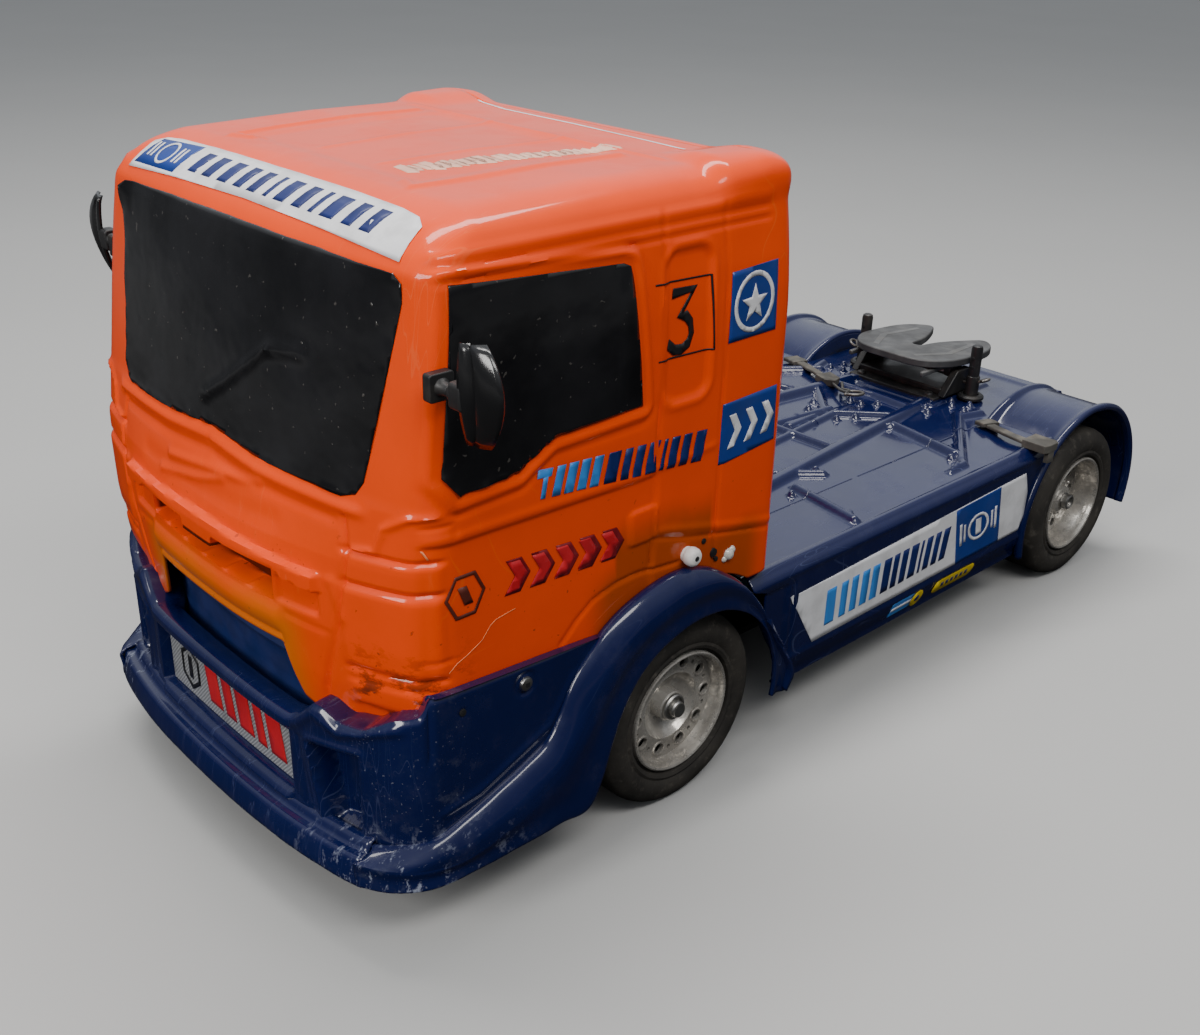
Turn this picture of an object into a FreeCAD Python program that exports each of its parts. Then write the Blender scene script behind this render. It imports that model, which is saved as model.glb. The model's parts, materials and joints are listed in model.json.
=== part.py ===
import FreeCAD, Part
import math
import os
import re
from FreeCAD import Placement, Rotation, Vector

# Radio-controlled race tractor truck, 1:14. Millimetres. +X forward, +Y left, +Z up, ground at z = 0.
# The origin is the centre of the whole truck's footprint.

DIMENSIONS = {
    "wheel_base": 257.0, "front_axle_x": 87.5, "axle_height": 35.0,
    "tyre_radius": 35.0, "tyre_inner_y": 59.0, "tyre_outer_y": 85.5, "rim_radius": 22.0, "rim_wall": 1.7,
    "running_gap": 0.05, "cab_rear_x": 51.0, "cab_front_x": 209.0, "cab_half_width": 85.5, "cab_top": 214.0,
    "shell_wall": 1.2, "film_thickness": 0.3, "grille_half_width": 42.0,
    "bumper_half_width": 87.0, "bumper_wall": 1.4, "lip_bottom": 22.0, "lip_top": 32.0, "lip_front_x": 215.5,
    "flare_outer_y": 91.5, "flare_wall": 1.5, "front_arch_radius": 39.5,
    "deck_top": 72.5, "deck_front_x": 48.0, "deck_rear_x": -203.0, "deck_half_width": 85.7,
    "skirt_bottom": 23.5, "skirt_front_x": 30.0, "moulding_wall": 1.5,
    "arch_radius": 46.0, "arch_inner_y": 52.0, "arch_outer_y": 87.0,
    "plate_bottom": 14.0, "plate_top": 17.0, "plate_half_width": 41.0,
    "kingpin_y": 52.0, "kingpin_radius": 1.5, "beam_low_top": 23.0, "beam_high_bottom": 47.0,
    "beam_high_top": 53.0, "stub_radius": 2.5, "rear_axle_radius": 3.0,
    "steer_arm_forward": 16.0, "steer_arm_out": 3.0, "link_bottom": 45.1, "link_thickness": 3.0,
    "link_pin_radius": 1.2, "servo_axis_x": 117.5,
    "spur_teeth": 54.0, "pinion_teeth": 15.0, "gear_module": 0.6, "gear_width": 5.0, "gear_y": 22.5,
    "motor_radius": 14.0, "motor_face_y": 16.0, "motor_length": 38.0, "motor_shaft_radius": 1.15,
    "post_x": -158.5, "post_y": 30.9, "post_radius": 2.6, "post_top": 98.8, "post_shoulder": 84.0,
    "post_foot_radius": 3.1, "post_hole_radius": 3.5,
    "fifth_x": -157.5, "fifth_pivot_z": 83.0, "fifth_top": 92.0, "fifth_thickness": 3.5,
    "fifth_pin_radius": 2.0, "seat_radius": 2.6,
    "mirror_x": 185.2, "mirror_z": 173.9, "mirror_ball_y": 93.5, "mirror_ball_radius": 2.4,
    "cab_bar_x": 90.7, "cab_bar_z": 96.0, "cab_bar_radius": 2.0,
}

doc = FreeCAD.newDocument("race_truck")
sheet = doc.addObject("Spreadsheet::Sheet", "dims")
for row, (alias, value) in enumerate(DIMENSIONS.items(), start=1):
    sheet.set("A%d" % row, str(value))
    sheet.setAlias("A%d" % row, alias)
doc.recompute()

parts = {}


def val(alias):
    """One driving dimension, read from the sheet."""
    return float(sheet.get(alias))


def formula(text):
    """The same formula with each dimension's name pointing at the sheet."""
    def sheet_name(match):
        word = match.group(0)
        return "dims." + word if word in DIMENSIONS else word

    return re.sub(r"[a-z][a-z_]+", sheet_name, text)


def bind(item, name, value):
    """Set a size from a number, or bind it to a formula of driving dimensions."""
    if isinstance(value, str):
        item.setExpression(name, formula(value))
    else:
        setattr(item, name, value)


def place(item, at=(0, 0, 0), axis=(0, 0, 1), angle=0):
    """Turn an object about an axis through its own origin and move it to a place."""
    numbers = [value if not isinstance(value, str) else 0 for value in at]
    item.Placement = Placement(Vector(*numbers), Rotation(Vector(*axis), angle))
    for name, value in zip("xyz", at):
        if isinstance(value, str):
            item.setExpression("Placement.Base." + name, formula(value))
    return item


def part(name, item):
    """Name a finished sub-part; the name is also its file's."""
    item.Label = name
    parts[name] = item
    return item


def box(low, size):
    """A block from its lowest corner and its lengths."""
    item = doc.addObject("Part::Box", "block")
    for name, value in zip(("Length", "Width", "Height"), size):
        bind(item, name, value)
    return place(item, low)


def rod(radius, length, at, along="z"):
    """A round bar that starts at a point and runs along +X, +Y or +Z."""
    item = doc.addObject("Part::Cylinder", "bar")
    bind(item, "Radius", radius)
    bind(item, "Height", length)
    turn = {"x": ((0, 1, 0), 90), "y": ((1, 0, 0), -90), "z": ((0, 0, 1), 0)}[along]
    return place(item, at, *turn)


def ball(radius, at):
    item = doc.addObject("Part::Sphere", "ball")
    bind(item, "Radius", radius)
    return place(item, at)


def fuse(*items):
    item = doc.addObject("Part::MultiFuse", "joined")
    item.Shapes = list(items)
    return item


def cut(base, *tools):
    item = doc.addObject("Part::Cut", "cut")
    item.Base = base
    item.Tool = tools[0] if len(tools) == 1 else fuse(*tools)
    return item


def common(*items):
    item = doc.addObject("Part::MultiCommon", "shared")
    item.Shapes = list(items)
    return item


def group(*items):
    item = doc.addObject("Part::Compound", "group")
    item.Links = list(items)
    return item


def sketch_in(body, plane, points):
    """A closed outline of straight edges on one of the body's origin planes."""
    flat = [item for item in body.Origin.OriginFeatures if item.Role == plane][0]
    sketch = body.newObject("Sketcher::SketchObject", "outline")
    sketch.AttachmentSupport = [(flat, "")]
    sketch.MapMode = "FlatFace"
    for start, end in zip(points, points[1:] + points[:1]):
        sketch.addGeometry(Part.LineSegment(Vector(*start, 0), Vector(*end, 0)), False)
    return sketch


def pad(plane, points, length, at=(0, 0, 0)):
    """An outline given thickness equally to both sides of its plane, then moved to a place."""
    body = doc.addObject("PartDesign::Body", "padded")
    feature = body.newObject("PartDesign::Pad", "pad")
    feature.Profile = sketch_in(body, plane, points)
    feature.SideType = "Symmetric"
    bind(feature, "Length", length)
    body.Tip = feature
    return place(body, at)


def turned(points, at):
    """A ring turned about the Y axis; each point is (radius, y)."""
    body = doc.addObject("PartDesign::Body", "turned")
    sketch = sketch_in(body, "XY_Plane", points)
    feature = body.newObject("PartDesign::Revolution", "turning")
    feature.Profile = sketch
    feature.ReferenceAxis = (sketch, ["V_Axis"])
    feature.Angle = 360
    body.Tip = feature
    return place(body, at)


def inset(points, distance):
    """The outline moved inwards by a distance; its points run anticlockwise."""
    moved = []
    for index, (x, y) in enumerate(points):
        before = points[index - 1]
        after = points[(index + 1) % len(points)]
        one = Vector(x - before[0], y - before[1], 0).normalize()
        two = Vector(after[0] - x, after[1] - y, 0).normalize()
        spread = 1 + one.dot(two)
        moved.append((x - distance * (one.y + two.y) / spread, y + distance * (one.x + two.x) / spread))
    return moved


def both_sides(half):
    """A closed symmetric outline from its +Y half, listed from the rear to the front; points are (x, y)."""
    return [(x, -y) for x, y in half] + [(x, y) for x, y in reversed(half) if y > 0]


front_x = val("cab_front_x")
rear_x = val("cab_rear_x")
rear_axle_x = val("front_axle_x") - val("wheel_base")

CAB_SIDE = [(rear_x, 60), (front_x - 4, 60), (front_x, 75), (front_x, 112), (front_x - 10, 136),
            (front_x - 12.5, 137), (front_x - 22.7, 199), (front_x - 42.4, 212),
            (rear_x + 24, val("cab_top")), (rear_x + 6, 209), (rear_x + 2, 200), (rear_x, 150)]
CAB_PLAN = both_sides([(rear_x, val("cab_half_width")), (front_x - 21, val("cab_half_width")),
                       (front_x - 12, 78), (front_x - 5, 60), (front_x, 30)])
BUMPER_PLAN = both_sides([(100, val("bumper_half_width")), (191, val("bumper_half_width")), (199, 79),
                          (206, 62), (210, 42), (211, 10)])
WINDOW = [(113, 151), (147, 150), (156, 145), (159, 143), (179, 142), (184, 148), (180, 186),
          (179, 197), (118, 193)]


def cab_solid(distance):
    """The cab's outside moved inwards by a distance, open past the bottom."""
    half = val("cab_half_width")
    top = val("cab_top")
    section = [(-half, 60), (half, 60), (half, 165), (80, 204), (72, top),
               (-72, top), (-80, 204), (-half, 165)]
    side = [(x, z - 30) if z == 60 else (x, z) for x, z in CAB_SIDE]
    front = [(y, z - 30) if z == 60 else (y, z) for y, z in section]
    if distance:
        side = inset(side, distance)
        front = inset(front, distance)
    plan = inset(CAB_PLAN, distance) if distance else CAB_PLAN
    return common(pad("XZ_Plane", side, 200), pad("YZ_Plane", front, 600), pad("XY_Plane", plan, 500))


def build_cab():
    """The thin cab shell, with the wheel arches, the grille mouth and its screw holes cut through."""
    shell = cut(cab_solid(0), cab_solid(val("shell_wall")))
    below = pad("XZ_Plane", [(30, 20), (230, 20), (230, 68), (190, 68), (190, 84.6), (128, 81), (rear_x, 77),
                             (30, 77)], 200)
    arch = rod(52.0, 200, ("front_axle_x", -100, "axle_height"), "y")
    mouth = box((198, "-grille_half_width", 40), (20, "2*grille_half_width", 48))
    knob_hole = rod(1.5, 200, ("cab_bar_x", -100, "cab_bar_z"), "y")
    screw_hole = rod(1.0, 200, (157.5, -100, 76.6), "y")
    part("cab_shell", cut(shell, below, arch, mouth, knob_hole, screw_hole))


def build_windows():
    """Window films that lie on the outside of the cab shell."""
    skin = cut(cab_solid(-val("film_thickness")), cab_solid(0))
    screen = pad("YZ_Plane", [(-64, 138), (64, 138), (71, 198.5), (-71, 198.5)], 60, (190, 0, 0))
    part("windscreen_film", common(skin, screen))
    films = [common(skin, pad("XZ_Plane", WINDOW, 40, (0, y, 0))) for y in (80, -80)]
    part("side_window_films", group(*films))


def build_front():
    """Grille insert, bumper, number plate, lip and the two fender flares."""
    part("grille_insert", box((200, -56, 62), (1.5, 112, 34)))
    inner_plan = inset(BUMPER_PLAN, val("bumper_wall"))
    band = cut(pad("XY_Plane", BUMPER_PLAN, 200), pad("XY_Plane", inner_plan, 220))
    side = pad("XZ_Plane", [(128, 79), (139, 69), (148, 55), (175, 44), (194, 42), (200, 24), (212, 24),
                            (212, 66), (200, 66), (197, 84.6), (190, 84.6), (128, 81)], 200)
    screw_hole = rod(1.0, 200, (157.5, -100, 76.6), "y")
    part("front_bumper", cut(common(band, side), screw_hole))
    part("number_plate", box((211.1, -40, 38.5), (0.4, 80, 24.5)))
    heads = [fuse(rod(1.0, 4.0, (157.5, y, 76.6), "y"), rod(2.2, 1.2, (157.5, head, 76.6), "y"))
             for y, head in ((84.0, "bumper_half_width"), (-88.0, "-bumper_half_width-1.2"))]
    part("bumper_screws", group(*heads))
    middle = (val("lip_bottom") + val("lip_top")) / 2
    lip_x = val("lip_front_x")
    lip = [(200.9, -75), (208, -75), (lip_x - 2.5, -49), (lip_x, -19), (lip_x, 19), (lip_x - 2.5, 49),
           (208, 75), (200.9, 75), (206.1, 62), (210.1, 42), (211.1, 10), (211.1, -10), (210.1, -42),
           (206.1, -62)]
    part("front_lip", pad("XY_Plane", lip, "lip_top-lip_bottom", (0, 0, middle)))
    for name, side in (("left_fender_flare", 1), ("right_fender_flare", -1)):
        build_flare(name, side, middle)


def build_flare(name, side, middle):
    """A thin flare over the front wheel that runs forward into the corner of the lip."""
    outline = [(41, 34), (48, 22), (200, 22), (200, 32), (166, 34), (150, 50), (134, 68), (124, 78),
               (112, 85.5), (96, 89), (80, 88.5), (64, 82), (52, 72), (44, 56)]
    inner_y = val("bumper_half_width") + 0.1
    outer_y = val("flare_outer_y")
    wall = val("flare_wall")
    depth = outer_y - inner_y
    middle_y = (outer_y + inner_y) / 2
    outer = pad("XZ_Plane", outline, depth, (0, side * middle_y, 0))
    hollow = pad("XZ_Plane", inset(outline, wall), depth, (0, side * (middle_y - wall), 0))
    corner = [(130, inner_y), (191.1, inner_y), (199.2, 79.2), (200.9, 75.1), (208, 75.1), (202, 83),
              (195, 90), (179, outer_y), (130, outer_y)]
    lip = pad("XY_Plane", [(x, side * y) for x, y in corner], "lip_top-lip_bottom", (0, 0, middle))
    arch = rod("front_arch_radius", 200, ("front_axle_x", -100, "axle_height"), "y")
    part(name, cut(fuse(cut(outer, hollow), lip), arch))


def build_rear_body():
    """One hollow moulding: deck, side skirts and two half-round arches over the rear wheels."""
    wall = val("moulding_wall")
    arch_x = "front_axle_x-wheel_base"
    deck_length = "deck_front_x-deck_rear_x"
    outer = [box(("deck_rear_x", "-deck_half_width", 60), (deck_length, "2*deck_half_width", "deck_top-60")),
             box((-126, "-deck_half_width", "skirt_bottom"),
                 ("skirt_front_x+126", "2*deck_half_width", "deck_top-skirt_bottom"))]
    inner = [box(("deck_rear_x+moulding_wall", "-deck_half_width+moulding_wall", 10),
                 (deck_length, "2*(deck_half_width-moulding_wall)", "deck_top-moulding_wall-10"))]
    span = "arch_outer_y-arch_inner_y"
    for side, start in ((1, "arch_inner_y"), (-1, "-arch_outer_y")):
        outer.append(rod("arch_radius", span, (arch_x, start, "axle_height"), "y"))
        outer.append(box((arch_x + "-arch_radius", start, 24), ("arch_radius", span, "axle_height-24")))
        well_y = "arch_inner_y+moulding_wall" if side > 0 else "-arch_outer_y-20"
        well_span = "arch_outer_y-arch_inner_y+20-moulding_wall"
        inner.append(rod("arch_radius-moulding_wall", well_span, (arch_x, well_y, "axle_height"), "y"))
        inner.append(box((arch_x + "-arch_radius+moulding_wall", well_y, -20),
                         ("2*(arch_radius-moulding_wall)", well_span, "axle_height+20")))
        inner.append(box((rear_axle_x, start, -20), (val("arch_radius") + 20, span, 43.5)))
        inner.append(rod("post_hole_radius", 40, ("post_x", ("%d*post_y" % side), 60)))
    between_y = val("arch_inner_y") + wall
    inner.append(box((rear_axle_x - 50, -between_y, -20), (100, 2 * between_y, val("deck_top") - wall + 20)))
    part("rear_body", cut(fuse(*outer), *inner))


def build_fifth_wheel():
    """Coupling plate with a slot for a trailer's pin, tilting on a cross pin in a fixed bracket."""
    cheek_holes = rod("fifth_pin_radius", 80, ("fifth_x", -40, "fifth_pivot_z"), "y")
    base = box(("fifth_x-18", -24, "deck_top"), (36, 48, 3))
    cheeks = [box(("fifth_x-5.5", y, "deck_top+3"), (11, 4, "fifth_pivot_z-deck_top+0.5")) for y in (-24, 20)]
    part("fifth_wheel_bracket", cut(fuse(base, *cheeks), cheek_holes))
    part("fifth_wheel_pin", rod("fifth_pin_radius", 48, ("fifth_x", -24, "fifth_pivot_z"), "y"))
    x = val("fifth_x")
    seat = val("seat_radius")
    half = [(x - 31, 14), (x - 31, 21), (x - 18, 27), (x + 18, 27), (x + 31, 19)]
    outline = [(px, -py) for px, py in half] + [(px, py) for px, py in reversed(half)]
    outline += [(x - 12, seat), (x, seat), (x, -seat), (x - 12, -seat)]
    plate = pad("XY_Plane", outline, "fifth_thickness", (0, 0, "fifth_top-fifth_thickness/2"))
    ears = [box(("fifth_x-4", y, "fifth_pivot_z-4"), (8, 4.8, "fifth_top-fifth_thickness-fifth_pivot_z+4"))
            for y in (-19.8, 15)]
    seat_hole = rod("seat_radius", 20, ("fifth_x", 0, "fifth_top-15"))
    pin_hole = rod("fifth_pin_radius+running_gap", 80, ("fifth_x", -40, "fifth_pivot_z"), "y")
    part("fifth_wheel_plate", cut(fuse(plate, *ears), seat_hole, pin_hole))


def build_posts():
    """Body posts that stand on the chassis, their clips and the clips' tethers."""
    posts = []
    for name, side in (("left_post_clip", 1), ("right_post_clip", -1)):
        centre_y = "%d*post_y" % side
        foot = rod("post_foot_radius", "post_shoulder-plate_top", ("post_x", centre_y, "plate_top"))
        tip = rod("post_radius", "post_top-post_shoulder", ("post_x", centre_y, "post_shoulder"))
        clip_hole = rod(0.75, 20, ("post_x", centre_y + "-10", 80), "y")
        posts.append(cut(fuse(foot, tip), clip_hole))
        start = centre_y + ("-5.5" if side > 0 else "-6.5")
        eye = doc.addObject("Part::Torus", "eye")
        eye.Radius1 = 3.0
        eye.Radius2 = 0.7
        place(eye, ("post_x", "%d*(post_y+8.8)" % side, 80))
        part(name, fuse(rod(0.7, 12, ("post_x", start, 80), "y"), eye))
    part("rear_body_posts", group(*posts))
    left_strap = fuse(box((-131, 55, 72.9), (8, 34, 1.5)), box((-132, 80, 74.4), (10, 11, 3)))
    right_strap = place(box((0, 0, 0), (34, 6, 1.5)), (-134, -54, 72.9), (0, 0, 1), 68)
    part("clip_tethers", group(left_strap, right_strap))
    ring = doc.addObject("Part::Torus", "ring")
    ring.Radius1 = 5.0
    ring.Radius2 = 0.8
    place(ring, (-107, 1, 75.6))
    stem = doc.addObject("Part::Cylinder", "stem")
    stem.Radius = 0.8
    stem.Height = 20.0
    place(stem, (-119.5, -20, 75.6), (math.sin(math.radians(-59)), math.cos(math.radians(-59)), 0), 90)
    part("spare_body_clip", fuse(ring, stem))


def build_chassis():
    """Flat chassis plate with the parts that are screwed or strapped to it."""
    part("chassis_plate", box((-195, "-plate_half_width", "plate_bottom"),
                              (377, "2*plate_half_width", "plate_top-plate_bottom")))
    web = box(("front_axle_x-5", -38, "plate_top"), (10, 76, "beam_high_top-plate_top"))
    arms = [box(("front_axle_x-4", "-kingpin_y-4", low), (8, "2*kingpin_y+8", height)) for low, height in
            (("plate_top", "beam_low_top-plate_top"), ("beam_high_bottom", "beam_high_top-beam_high_bottom"))]
    pins = [rod("kingpin_radius", "beam_high_top-plate_top", ("front_axle_x", y, "plate_top"))
            for y in ("kingpin_y", "-kingpin_y")]
    holes = [rod("kingpin_radius", "beam_high_top-plate_top", ("front_axle_x", y, "plate_top"))
             for y in ("kingpin_y", "-kingpin_y")]
    stands = [box(("cab_bar_x-4", y, "beam_high_bottom"), (8, 6, "cab_bar_z-beam_high_bottom+3"))
              for y in (-26, 20)]
    holes.append(rod("cab_bar_radius", 60, ("cab_bar_x", -30, "cab_bar_z"), "y"))
    part("front_axle_beam", cut(fuse(web, *arms, *stands), *holes))
    part("kingpins", group(*pins))
    part("cab_mount_bar", rod("cab_bar_radius", 168.4, ("cab_bar_x", -84.2, "cab_bar_z"), "y"))
    knobs = []
    for shank_y, head_y in ((84.2, "cab_half_width"), (-85.5, "-cab_half_width-4.5")):
        shank = rod(1.5, 1.3, ("cab_bar_x", shank_y, "cab_bar_z"), "y")
        knobs.append(fuse(shank, rod(3.2, 4.5, ("cab_bar_x", head_y, "cab_bar_z"), "y")))
    part("side_knobs", group(*knobs))
    part("battery_pack", box((-125, -23.5, "plate_top"), (135, 47, 24)))
    outer = box((-60, -25.5, "plate_top"), (15, 51, 25.5))
    part("battery_strap", cut(outer, box((-61, -23.8, 10), (17, 47.6, 31.2))))
    part("speed_controller", box((20, -36, "plate_top"), (35, 30, 20)))
    part("receiver", box((20, 8, "plate_top"), (30, 26, 13)))
    housing = box((58, 22, "plate_top"), (16, 14, 8))
    part("switch_housing", cut(housing, box((61, 27.4, 20), (10, 3.2, 10))))
    part("switch_slider", box((61.2, 27.6, 20.2), (4, 2.8, 8)))


def gear_outline(teeth, facing_back=False):
    """Gear outline with straight-sided teeth and a little backlash. A gap faces +X, or a tooth faces -X."""
    count = int(val(teeth))
    module = val("gear_module")
    pitch = module * count / 2
    step = 2 * math.pi / count
    points = []
    for tooth in range(count):
        middle = tooth * step + (math.pi if facing_back else step / 2)
        for turn, radius in ((-0.30, pitch - 1.25 * module), (-0.12, pitch + 0.9 * module),
                             (0.12, pitch + 0.9 * module), (0.30, pitch - 1.25 * module)):
            angle = middle + turn * step
            points.append((radius * math.cos(angle), radius * math.sin(angle)))
    return points


def build_drive():
    """Motor, pinion and spur gear on the rear axle, which turns in bearings in two blocks."""
    axle_x = "front_axle_x-wheel_base"
    motor_x = axle_x + "+gear_module*(spur_teeth+pinion_teeth)/2"
    axle_hole = rod("rear_axle_radius", 200, (axle_x, -100, "axle_height"), "y")
    part("rear_axle_shaft", rod("rear_axle_radius", 154, (axle_x, -77, "axle_height"), "y"))
    bore = rod("rear_axle_radius+running_gap", 200, (axle_x, -100, "axle_height"), "y")
    seat = rod(6.0, 200, (axle_x, -100, "axle_height"), "y")
    blocks = [box((axle_x + "-9", y, "plate_top"), (18, 6, 29)) for y in (-41.5, 35.5)]
    rings = [rod(6.0, 6, (axle_x, y, "axle_height"), "y") for y in (-41.5, 35.5)]
    part("rear_axle_blocks", cut(group(*blocks), seat))
    part("rear_axle_bearings", cut(group(*rings), bore))
    spur = pad("XZ_Plane", gear_outline("spur_teeth"), "gear_width", (axle_x, "gear_y", "axle_height"))
    part("spur_gear", cut(spur, axle_hole))
    pinion_outline = gear_outline("pinion_teeth", True)
    pinion = pad("XZ_Plane", pinion_outline, "gear_width", (motor_x, "gear_y", "axle_height"))
    shaft = rod("motor_shaft_radius", 11.8, (motor_x, "motor_face_y-1.8", "axle_height"), "y")
    shaft_hole = rod("motor_shaft_radius", 40, (motor_x, 0, "axle_height"), "y")
    part("motor_shaft", shaft)
    part("motor_pinion", cut(pinion, shaft_hole))
    can = rod("motor_radius", "motor_length", (motor_x, "motor_face_y-motor_length", "axle_height"), "y")
    bush = rod("motor_shaft_radius+running_gap", 10, (motor_x, "motor_face_y-2", "axle_height"), "y")
    part("motor", cut(can, bush))
    mount = box((axle_x + "+8", "motor_face_y", "plate_top"), (32, 2.5, 33))
    part("motor_mount", cut(mount, rod(6.0, 40, (motor_x, 0, "axle_height"), "y")))


def build_steering():
    """Servo, horn and two links that keep both knuckles parallel to the horn."""
    arm = val("steer_arm_forward")
    out = val("steer_arm_out")
    servo_x = val("servo_axis_x")
    part("steering_servo", box(("servo_axis_x-10", -10, "plate_top"), (40, 20, 24.9)))
    horn = [rod(5.0, 3, ("servo_axis_x", 0, 42)),
            box(("servo_axis_x", -5.5, 42), ("steer_arm_forward+2.5", 11, 3))]
    horn += [rod("link_pin_radius", 3.6, ("servo_axis_x+steer_arm_forward", y, 45))
             for y in ("steer_arm_out", "-steer_arm_out")]
    part("servo_horn", fuse(*horn))
    for name, side in (("left_tie_rod", 1), ("right_tie_rod", -1)):
        inner = Vector(servo_x + arm, side * out, 0)
        outer = Vector(val("front_axle_x") + arm, side * (val("kingpin_y") + out), 0)
        along = outer - inner
        angle = math.degrees(math.atan2(along.y, along.x))
        bar = box((0, 0, 0), (along.Length, 3, "link_thickness"))
        across = Vector(-along.y, along.x, 0).normalize() * 1.5
        place(bar, (inner.x - across.x, inner.y - across.y, "link_bottom"), (0, 0, 1), angle)
        eyes = [rod(2.6, "link_thickness", (end.x, end.y, "link_bottom")) for end in (inner, outer)]
        holes = [rod("link_pin_radius+running_gap", 20, (inner.x, inner.y, 40)),
                 rod("link_pin_radius+0.15", 20, (outer.x, outer.y, 40))]
        part(name, cut(fuse(bar, *eyes), *holes))


def build_knuckle(name, side):
    """Knuckle on its kingpin, with a steering arm and a pressed-in stub axle and wheel nut."""
    pin_y = side * val("kingpin_y")
    low = "beam_low_top+running_gap"
    upright = rod(5.0, "beam_high_bottom-beam_low_top-2*running_gap", ("front_axle_x", pin_y, low))
    boss_y = pin_y if side > 0 else pin_y - 8
    boss = rod(4.0, 8, ("front_axle_x", boss_y, "axle_height"), "y")
    angle = math.degrees(math.atan2(side * val("steer_arm_out"), val("steer_arm_forward")))
    reach = math.hypot(val("steer_arm_out"), val("steer_arm_forward"))
    arm = box((0, 0, 0), (reach, 4, 3))
    offset = Rotation(Vector(0, 0, 1), angle).multVec(Vector(0, -2, 0))
    place(arm, (val("front_axle_x") + offset.x, pin_y + offset.y, 42), (0, 0, 1), angle)
    tip = (val("front_axle_x") + val("steer_arm_forward"), pin_y + side * val("steer_arm_out"))
    tip_pad = rod(3.0, 3, (tip[0], tip[1], 42))
    tip_pin = rod("link_pin_radius", 3.6, (tip[0], tip[1], 45))
    bore = rod("kingpin_radius+running_gap", 60, ("front_axle_x", pin_y, 10))
    stub_y = 54.0 if side > 0 else -84.0
    stub_hole = rod("stub_radius", 30, ("front_axle_x", stub_y, "axle_height"), "y")
    part(name + "_knuckle", cut(fuse(upright, boss, arm, tip_pad, tip_pin), bore, stub_hole))
    part(name + "_stub_axle", rod("stub_radius", 30, ("front_axle_x", stub_y, "axle_height"), "y"))
    nut_y = 80.2 if side > 0 else -83.5
    nut = hexagon(4.6, 3.3, ("front_axle_x", nut_y, "axle_height"))
    nut_hole = rod("stub_radius", 10, ("front_axle_x", nut_y - 3, "axle_height"), "y")
    part("front_" + name + "_wheel_nut", cut(nut, nut_hole))


def hexagon(radius, length, at):
    item = doc.addObject("Part::Prism", "hexagon")
    item.Polygon = 6
    bind(item, "Circumradius", radius)
    bind(item, "Height", length)
    return place(item, at, (1, 0, 0), -90)


def hole_ring(count, pitch_radius, radius, axle_x):
    """Cylinders for a ring of holes through a wheel's disc."""
    tools = []
    for index in range(count):
        angle = 2 * math.pi * index / count
        centre = (axle_x + "+%.6f" % (pitch_radius * math.cos(angle)), -100,
                  "axle_height+%.6f" % (pitch_radius * math.sin(angle)))
        tools.append(rod(radius, 200, centre, "y"))
    return tools


def rim_and_tyre(side, axle_x, disc, hub, bore):
    """One wheel; disc and hub are each an inner and an outer distance from the truck's centre plane."""
    barrel_in = val("rim_radius") - val("rim_wall")
    outer = val("rim_radius")
    profile = [(bore, hub[0]), (8, hub[0]), (8, disc[0]), (barrel_in, disc[0]), (barrel_in, 60.5),
               (outer, 60.5), (outer, 84.5), (barrel_in, 84.5), (barrel_in, disc[1]), (8, disc[1]),
               (8, hub[1]), (bore, hub[1])]
    rim = turned([(r, side * y) for r, y in profile], (axle_x, 0, "axle_height"))
    tread = val("tyre_radius")
    inner_y = val("tyre_inner_y")
    outer_y = val("tyre_outer_y")
    section = [(outer, inner_y + 0.8), (tread - 3, inner_y), (tread, inner_y + 2.5), (tread, outer_y - 2.5),
               (tread - 3, outer_y), (outer, outer_y - 0.8)]
    tyre = turned([(r, side * y) for r, y in section], (axle_x, 0, "axle_height"))
    return cut(rim, *hole_ring(10, 14.0, 2.0, axle_x)), tyre


def build_wheels():
    """Four wheels: the front pair on bearings, the rear pair fixed to the driven axle."""
    front = "front_axle_x"
    rear = "front_axle_x-wheel_base"
    nuts = []
    rear_pairs = []
    for name, side in (("left", 1), ("right", -1)):
        rim, tyre = rim_and_tyre(side, front, (76.0, 78.5), (66.0, 80.0), 5.0)
        part("front_" + name + "_rim", rim)
        part("front_" + name + "_tyre", tyre)
        rear_pairs.append(rim_and_tyre(side, rear, (66.0, 68.5), (63.0, 73.0), val("rear_axle_radius")))
        starts = (66.0, 76.0) if side > 0 else (-70.0, -80.0)
        rings = group(*[rod(5.0, 4, (front, y, "axle_height"), "y") for y in starts])
        bore = rod("stub_radius+running_gap", 200, (front, -100, "axle_height"), "y")
        part("front_" + name + "_bearings", cut(rings, bore))
        nut_y = 73.0 if side > 0 else -77.0
        nuts.append(cut(hexagon(5.2, 4, (rear, nut_y, "axle_height")),
                        rod("rear_axle_radius", 10, (rear, nut_y - 3, "axle_height"), "y")))
        build_knuckle(name, side)
    part("rear_wheel_nuts", group(*nuts))
    part("rear_rims", group(*[rim for rim, tyre in rear_pairs]))
    part("rear_tyres", group(*[tyre for rim, tyre in rear_pairs]))


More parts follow.
